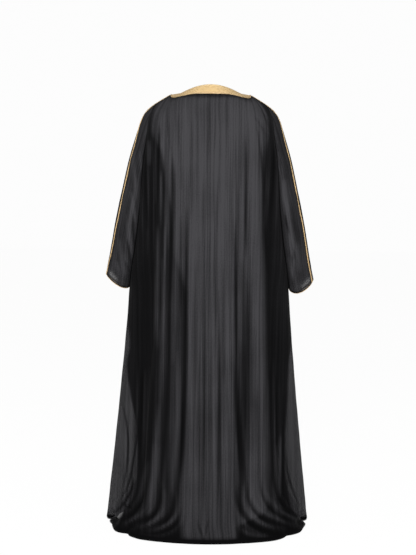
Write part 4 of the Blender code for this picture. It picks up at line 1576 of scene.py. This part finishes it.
@dataclass(frozen=True)
class SleeveLine:
    """The double gold line that runs from the neckband over the shoulder and down the sleeve ridge."""

    side: Side
    cord: TwistedCord = TwistedCord(radius=0.0012, pitch=0.0050)
    gap: float = 0.0027
    lift: float = 0.0008

    def build(self, sheet: Cloth, shares: np.ndarray, look: "GoldCord") -> bpy.types.Object:
        """Lays the two cords on the sleeve.

        Args:
            sheet: The sleeve's sheet.
            shares: The share of the way down of each of its rows.
            look: The cord's finish.

        Returns:
            The object.
        """
        middle = sheet.points.shape[1] // 2
        half = sheet.points[:, : middle + 1]
        ways = sheet.normals[:, : middle + 1]
        insets = by_share(LINE_INSETS, self.side.word, shares)
        runs = []
        for shift in (0.0, self.gap):
            line, normals = [], []
            for k in range(len(half)):
                inset = half[k, -1, 0] - half[k, :, 0]
                beyond = np.nonzero(inset >= insets[k])[0]
                j = int(beyond.max()) if len(beyond) else len(inset) - 1
                far = length_along(half[k, ::-1])
                at = far[len(inset) - 1 - j] + shift
                line.append([np.interp(at, far, half[k, ::-1, n]) for n in range(3)])
                normals.append([np.interp(at, far, ways[k, ::-1, n]) for n in range(3)])
            seam = BODY.shoulder_line(np.linspace(BODY.band_half + 0.002, BODY.shoulder_half, 6)[:-1])
            seam = seam + np.array([0.0, shift, 0.0])
            fall, reach = BODY.band_foot - BODY.shoulder_crest, BODY.shoulder_half - BODY.band_half
            slope = unit(np.array([fall, 0.0, reach]))
            line = self.even(np.concatenate([seam, np.array(line)]))
            ways_on = self.even(unit(np.concatenate([np.tile(slope, (len(seam), 1)), np.array(normals)])))
            runs.append((line + ways_on * self.lift, ways_on))
        obj = self.cord.mesh_object("gold_sleeve_line_" + self.side.word, runs, self.side)
        declare(obj, look, "sleeve_cord_" + self.side.word)
        return obj

    def even(self, values: np.ndarray) -> np.ndarray:
        """Evens out a line over its neighbours, ends kept."""
        for _ in range(6):
            inner = (values[:-2] + 2 * values[1:-1] + values[2:]) / 4
            values = np.concatenate([values[:1], inner, values[-1:]])
        return values


@dataclass(frozen=True)
class CuffPiping:
    """The thin gold cord on the outer edge of a cuff's black hem."""

    side: Side
    cord: TwistedCord = TwistedCord(radius=0.0013, pitch=0.005, flatten=1.0)

    def build(self, sheet: Cloth, look: "GoldCord") -> bpy.types.Object:
        """Runs the cord round the cuff.

        Args:
            sheet: The sleeve's sheet.
            look: The cord's finish.

        Returns:
            The object.
        """
        down = unit(sheet.points[-1] - sheet.points[-2])
        line = sheet.points[-1] - sheet.normals[-1] * 0.0011 + down * 0.0009
        obj = self.cord.mesh_object("gold_cuff_piping_" + self.side.word, [(line, sheet.normals[-1])], self.side)
        declare(obj, look, "cuff_piping_" + self.side.word)
        return obj


@dataclass(frozen=True)
class NeckCord:
    """The raised double cord along the lower edge of the neckband."""

    cord: TwistedCord = TwistedCord(radius=0.0016, pitch=0.0062)
    places: tuple[float, float] = (0.035, 0.115)

    def build(self, sheet: Cloth, look: "GoldCord") -> bpy.types.Object:
        """Lays the cords on the band.

        Args:
            sheet: The band's sheet.
            look: The cord's finish.

        Returns:
            The object.
        """
        cols = sheet.points.shape[1] - 1
        runs = []
        for place in self.places:
            at = int(round(place * cols))
            runs.append((sheet.points[:, at] + sheet.normals[:, at] * 0.0008, sheet.normals[:, at]))
        obj = self.cord.mesh_object("gold_neck_cord", runs, Side.LEFT)
        declare(obj, look)
        return obj


@dataclass
class Finish:
    """A node material with the few helpers that the finishes share."""

    name: str
    roughness: float
    metallic: float = 0.0

    def __post_init__(self) -> None:
        """Makes the material and its plain values."""
        self.material = bpy.data.materials.new(self.name)
        self.material.use_nodes = True
        self.nodes = self.material.node_tree.nodes
        self.shader = self.nodes["Principled BSDF"]
        self.shader.inputs["Roughness"].default_value = self.roughness
        self.shader.inputs["Metallic"].default_value = self.metallic

    def node(self, kind: str, **values: object) -> bpy.types.Node:
        """Adds a node and sets its properties and inputs.

        Args:
            kind: The node's type.
            **values: Properties by name, or inputs by name with _ for spaces.

        Returns:
            The node.
        """
        made = self.nodes.new(kind)
        for key, value in values.items():
            if hasattr(made, key):
                setattr(made, key, value)
            else:
                made.inputs[key.replace("_", " ")].default_value = value
        return made

    def link(self, source: bpy.types.NodeSocket, target: bpy.types.NodeSocket) -> None:
        """Joins two sockets."""
        self.material.node_tree.links.new(source, target)

    def math(self, operation: str, first: object, second: object = 0.0) -> bpy.types.NodeSocket:
        """Adds a Math node.

        Args:
            operation: Its operation.
            first: A socket or a number.
            second: A socket or a number.

        Returns:
            Its result.
        """
        made = self.node("ShaderNodeMath", operation=operation)
        for socket, value in zip(made.inputs, (first, second)):
            if isinstance(value, bpy.types.NodeSocket):
                self.link(value, socket)
            else:
                socket.default_value = value
        return made.outputs[0]

    def mark(self, name: str) -> bpy.types.NodeSocket:
        """Reads one of the cloth's marks."""
        return self.node("ShaderNodeAttribute", attribute_name=name).outputs["Fac"]

    def mix(self, share: object, first: object, second: object) -> bpy.types.NodeSocket:
        """Mixes two colours.

        Args:
            share: A socket or a number.
            first: The colour at 0, or a socket.
            second: The colour at 1, or a socket.

        Returns:
            The mixed colour.
        """
        made = self.node("ShaderNodeMix", data_type="RGBA")
        for socket, value in zip((made.inputs[0], made.inputs[6], made.inputs[7]), (share, first, second)):
            if isinstance(value, bpy.types.NodeSocket):
                self.link(value, socket)
            else:
                socket.default_value = value
        return made.outputs[2]

    def bump(self, height: bpy.types.NodeSocket, strength: float, distance: float,
             before: bpy.types.NodeSocket | None = None) -> bpy.types.NodeSocket:
        """Adds a Bump node.

        Args:
            height: The height that it reads.
            strength: Its strength.
            distance: Its distance in metres.
            before: The normal of an earlier bump.

        Returns:
            The bumped normal.
        """
        made = self.node("ShaderNodeBump", Strength=strength, Distance=distance)
        self.link(height, made.inputs["Height"])
        if before is not None:
            self.link(before, made.inputs["Normal"])
        return made.outputs["Normal"]


@dataclass
class Crepe(Finish):
    """Black crepe: matt, fine upright grain and a faint sheen, sheer at the sides and cuffs."""

    name: str = "black_crepe"
    roughness: float = 0.72
    # The lit colour and the deep colour are a lit and a shaded copy of the black crepe.
    painted_lit: tuple[float, float, float, float] = (0.0470, 0.0460, 0.0500, 1.0)
    deep: tuple[float, float, float, float] = (0.0016, 0.0016, 0.0018, 1.0)
    hem: tuple[float, float, float, float] = (0.0018, 0.0018, 0.0020, 1.0)
    sheer_alpha: float = 0.60

    def __post_init__(self) -> None:
        """Wires the grain, the colour with its painted light and shade, and the sheerness."""
        super().__post_init__()
        place = self.node("ShaderNodeTexCoord").outputs["Object"]
        grain = self.node("ShaderNodeMapping", vector_type="POINT")
        grain.inputs["Scale"].default_value = (1.0, 0.014, 1.0)
        flat = self.node("ShaderNodeUVMap", uv_map="cloth").outputs["UV"]
        self.link(flat, grain.inputs["Vector"])
        streak = self.node("ShaderNodeTexNoise", Scale=210.0, Detail=5.0, Roughness=0.62)
        self.link(grain.outputs["Vector"], streak.inputs["Vector"])
        broad = self.node("ShaderNodeTexNoise", Scale=52.0, Detail=3.0, Roughness=0.5)
        self.link(grain.outputs["Vector"], broad.inputs["Vector"])
        cloudy = self.node("ShaderNodeTexNoise", Scale=5.0, Detail=2.0)
        self.link(place, cloudy.inputs["Vector"])
        thread = self.node("ShaderNodeTexWave", bands_direction="X", Scale=190.0, Distortion=1.4, Detail=1.0)
        weft = self.node("ShaderNodeTexWave", bands_direction="Y", Scale=190.0, Distortion=1.4, Detail=1.0)
        self.link(flat, thread.inputs["Vector"])
        self.link(flat, weft.inputs["Vector"])
        weave = self.math("ADD", thread.outputs["Fac"], weft.outputs["Fac"])
        normal = self.bump(weave, 0.10, 0.0004)
        normal = self.bump(streak.outputs["Fac"], 0.35, 0.0012, normal)
        normal = self.bump(broad.outputs["Fac"], 0.30, 0.004, normal)
        self.link(normal, self.shader.inputs["Normal"])
        crinkle = self.node("ShaderNodeTexNoise", Scale=95.0, Detail=3.0, Roughness=0.6)
        self.link(grain.outputs["Vector"], crinkle.inputs["Vector"])
        streaky = self.math("ADD", self.math("MULTIPLY", streak.outputs["Fac"], 0.62),
                            self.math("MULTIPLY", crinkle.outputs["Fac"], 0.98))
        varied = self.math("ADD", streaky, self.math("MULTIPLY", broad.outputs["Fac"], 0.8))
        varied = self.math("ADD", varied, self.math("MULTIPLY", cloudy.outputs["Fac"], 0.5))
        mottle = self.node("ShaderNodeTexNoise", Scale=230.0, Detail=2.0, Roughness=0.6)
        self.link(flat, mottle.inputs["Vector"])
        varied = self.math("ADD", varied, self.math("MULTIPLY", mottle.outputs["Fac"], 0.55))
        varied = self.math("MAXIMUM", self.math("SUBTRACT", varied, 0.72), 0.1)
        # Painted light and shade: the mark, with the grain, mixes the colour from the shaded copy to the lit
        # copy.
        tone = self.mark("tone")
        varied = self.math("POWER", varied, self.math("SUBTRACT", 3.2, self.math("MULTIPLY", tone, 1.6)))
        shaded = self.mix(self.math("MULTIPLY", tone, varied), self.deep, self.painted_lit)
        self.link(self.mix(self.mark("trim"), shaded, self.hem), self.shader.inputs["Base Color"])
        rough = self.node("ShaderNodeMapRange", To_Min=0.62, To_Max=0.86)
        self.link(streak.outputs["Fac"], rough.inputs["Value"])
        self.link(rough.outputs["Result"], self.shader.inputs["Roughness"])
        veil = self.math("MULTIPLY", self.mark("sheer"), self.math("MULTIPLY_ADD", streaky, 0.4))
        self.link(self.math("SUBTRACT", 1.0, self.math("MULTIPLY", veil, 1 - self.sheer_alpha)),
                  self.shader.inputs["Alpha"])
        self.shader.inputs["Sheen Weight"].default_value = 0.008
        self.shader.inputs["Sheen Roughness"].default_value = 0.45
        self.shader.inputs["Specular IOR Level"].default_value = 0.035


@dataclass
class GoldEmbroidery(Finish):
    """Gold thread laid over the band in small lozenges between two plain borders."""

    name: str = "gold_embroidery"
    roughness: float = 0.40
    metallic: float = 0.45
    bright: tuple[float, float, float, float] = (0.98, 0.77, 0.47, 1.0)
    mid: tuple[float, float, float, float] = (0.76, 0.51, 0.20, 1.0)
    dark: tuple[float, float, float, float] = (0.34, 0.18, 0.045, 1.0)
    lozenge: float = 0.0105

    def __post_init__(self) -> None:
        """Wires the lozenges, the thread lines and the borders."""
        super().__post_init__()
        share, length = self.mark("share"), self.mark("length")
        across = self.math("MULTIPLY", share, 0.041 / self.lozenge)
        along = self.math("DIVIDE", length, self.lozenge)
        cell_a = self.math("ABSOLUTE", self.math("SUBTRACT", self.math("FRACT", across), 0.5))
        cell_b = self.math("ABSOLUTE", self.math("SUBTRACT", self.math("FRACT", along), 0.5))
        lozenge = self.math("ADD", cell_a, cell_b)
        edge = self.math("ABSOLUTE", self.math("SUBTRACT", lozenge, 0.5))
        pillow = self.math("MINIMUM", self.math("MULTIPLY", edge, 4.0), 1.0)
        stitch = self.math("SINE", self.math("MULTIPLY", length, 2 * math.pi / 0.0011))
        relief = self.math("ADD", pillow, self.math("MULTIPLY", stitch, 0.16))
        noise = self.node("ShaderNodeTexNoise", Scale=420.0, Detail=3.0)
        self.link(self.node("ShaderNodeTexCoord").outputs["Object"], noise.inputs["Vector"])
        relief = self.math("ADD", relief, self.math("MULTIPLY", noise.outputs["Fac"], 0.35))
        self.link(self.bump(relief, 0.55, 0.0009), self.shader.inputs["Normal"])
        field_tone = self.mix(pillow, self.dark, self.mid)
        field_tone = self.mix(self.math("MULTIPLY", noise.outputs["Fac"], 0.8), field_tone, self.bright)
        drawn = self.node("ShaderNodeTexNoise", Scale=1.0, Detail=4.0, Roughness=0.65)
        stretch = self.node("ShaderNodeCombineXYZ")
        self.link(self.math("MULTIPLY", share, 9.0), stretch.inputs["X"])
        self.link(self.math("MULTIPLY", length, 22.0), stretch.inputs["Y"])
        self.link(stretch.outputs["Vector"], drawn.inputs["Vector"])
        border = self.math("ADD", self.math("LESS_THAN", share, 0.15), self.math("GREATER_THAN", share, 0.90))
        field_tone = self.mix(self.math("MULTIPLY", border, 0.6), field_tone, self.bright)
        shadow = self.math("MULTIPLY", self.math("SUBTRACT", drawn.outputs["Fac"], 0.42), 2.6)
        shadow = self.math("MINIMUM", self.math("MAXIMUM", shadow, 0.0), 0.55)
        self.link(self.mix(shadow, field_tone, self.mid), self.shader.inputs["Base Color"])


@dataclass
class GoldCord(Finish):
    """Twisted gold thread, with a painted highlight on its crowns and painted shade between its turns."""

    name: str = "gold_cord"
    roughness: float = 0.42
    metallic: float = 0.4
    # The bright and the dark gold are a lit and a shaded copy of the thread.
    bright: tuple[float, float, float, float] = (0.84, 0.62, 0.34, 1.0)
    dark: tuple[float, float, float, float] = (0.34, 0.20, 0.07, 1.0)
    pitch: float = 0.0028

    def __post_init__(self) -> None:
        """Wires the turns of the thread and their painted highlight and shade."""
        super().__post_init__()
        turns = self.math("SINE", self.math("MULTIPLY", self.mark("length"), 2 * math.pi / self.pitch))
        noise = self.node("ShaderNodeTexNoise", Scale=600.0, Detail=2.0)
        self.link(self.node("ShaderNodeTexCoord").outputs["Object"], noise.inputs["Vector"])
        height = self.math("ADD", self.math("MULTIPLY", turns, 0.5), noise.outputs["Fac"])
        self.link(self.bump(height, 0.4, 0.0005), self.shader.inputs["Normal"])
        # Painted highlight and shade that follow the twist.
        tone = self.math("MULTIPLY_ADD", turns, 0.25)
        self.link(self.mix(self.math("ADD", tone, 0.1), self.dark, self.bright), self.shader.inputs["Base Color"])


@dataclass(frozen=True)
class Studio:
    """The pale floor, the soft lights and the camera."""

    distance: float = 4.5
    eye_height: float = 1.2
    lens: float = 79.65
    shift_y: float = -0.1577
    lean: float = -0.0095
    aside: float = 0.0073
    floor_size: float = 40.0

    def build(self) -> None:
        """Sets everything up."""
        self.floor()
        self.lights()
        self.camera()
        self.backdrop()

    def floor(self) -> None:
        """A plain pale floor, faintly glowing so that it stays nearly white."""
        bpy.ops.object.select_all(action="DESELECT")
        bpy.ops.mesh.primitive_plane_add(size=self.floor_size, location=(0.0, 0.0, -HELD_HEIGHT - 0.0005))
        floor = bpy.context.active_object
        floor.name = "floor"
        paint = Finish("pale_floor", 0.9)
        paint.shader.inputs["Base Color"].default_value = (0.06, 0.06, 0.06, 1.0)
        paint.shader.inputs["Specular IOR Level"].default_value = 0.0
        paint.shader.inputs["Emission Color"].default_value = (1.0, 1.0, 1.0, 1.0)
        paint.shader.inputs["Emission Strength"].default_value = 0.955
        floor.data.materials.append(paint.material)

    def lights(self) -> None:
        """A large soft key from behind the camera and a weaker one from above."""
        for name, place, size, power in (
            ("key", (0.3, 5.2, 1.3), 2.4, 230.0),
            ("top", (0.0, 0.6, 3.6), 3.0, 45.0),
        ):
            lamp = bpy.data.lights.new(name, "AREA")
            lamp.shape = "DISK"
            lamp.size = size
            lamp.energy = power
            holder = bpy.data.objects.new(name, lamp)
            bpy.context.scene.collection.objects.link(holder)
            holder.location = place
            aim = np.array([0.0, 0.1, -0.7]) - np.array(place)
            aim = aim / np.linalg.norm(aim)
            pitch = math.acos(-aim[2])
            holder.rotation_euler = (pitch, 0.0, math.atan2(aim[1], aim[0]) - QUARTER)

    def camera(self) -> None:
        """The camera behind the cloak, level, at the photograph's height."""
        lens = bpy.data.cameras.new("view")
        lens.sensor_width = 36.0
        lens.lens = self.lens
        lens.shift_y = self.shift_y
        holder = bpy.data.objects.new("view", lens)
        bpy.context.scene.collection.objects.link(holder)
        holder.location = (self.aside, self.distance, self.eye_height - HELD_HEIGHT)
        holder.rotation_euler = (QUARTER, self.lean, math.pi)
        bpy.context.scene.camera = holder

    def backdrop(self) -> None:
        """A white surround that the camera sees brighter than it lights."""
        world = bpy.data.worlds.new("studio")
        bpy.context.scene.world = world
        world.use_nodes = True
        nodes, links = world.node_tree.nodes, world.node_tree.links
        shade = nodes["Background"]
        shade.inputs["Color"].default_value = (1.0, 1.0, 1.0, 1.0)
        shade.inputs["Strength"].default_value = 0.30
        seen = nodes.new("ShaderNodeBackground")
        seen.inputs["Color"].default_value = (1.0, 1.0, 1.0, 1.0)
        seen.inputs["Strength"].default_value = 0.98
        path, mixer = nodes.new("ShaderNodeLightPath"), nodes.new("ShaderNodeMixShader")
        links.new(path.outputs["Is Camera Ray"], mixer.inputs["Fac"])
        links.new(shade.outputs["Background"], mixer.inputs[1])
        links.new(seen.outputs["Background"], mixer.inputs[2])
        links.new(mixer.outputs["Shader"], nodes["World Output"].inputs["Surface"])
        bpy.context.scene.view_settings.view_transform = "Standard"


def main() -> None:
    """Builds the cloak piece by piece, then the studio."""
    logging.basicConfig(level=logging.INFO)
    crepe, embroidery, cord = Crepe(), GoldEmbroidery(), GoldCord()
    back_columns = tuple(5 * n for n in (8, 5, 4, 6, 5, 5, 5, 4, 4, 8))
    front_columns = tuple(4 * n for n in (7, 4, 4, 5))
    Panel("back", Face.BACK, Side.LEFT, back_columns, (1.10, 1.70), 1.50).build(crepe)
    for side in Side:
        Panel("front_" + side.word, Face.FRONT, side, front_columns, (0.52, 1.62), 0.66).build(crepe)
        _, sheet, shares = Sleeve(side).build(crepe)
        SleeveLine(side).build(sheet, shares, cord)
        CuffPiping(side).build(sheet, cord)
        FrontBand(side).build(embroidery)
    _, band = Neckband().build(embroidery)
    NeckCord().build(band, cord)
    Studio().build()


if __name__ == "__main__":
    main()
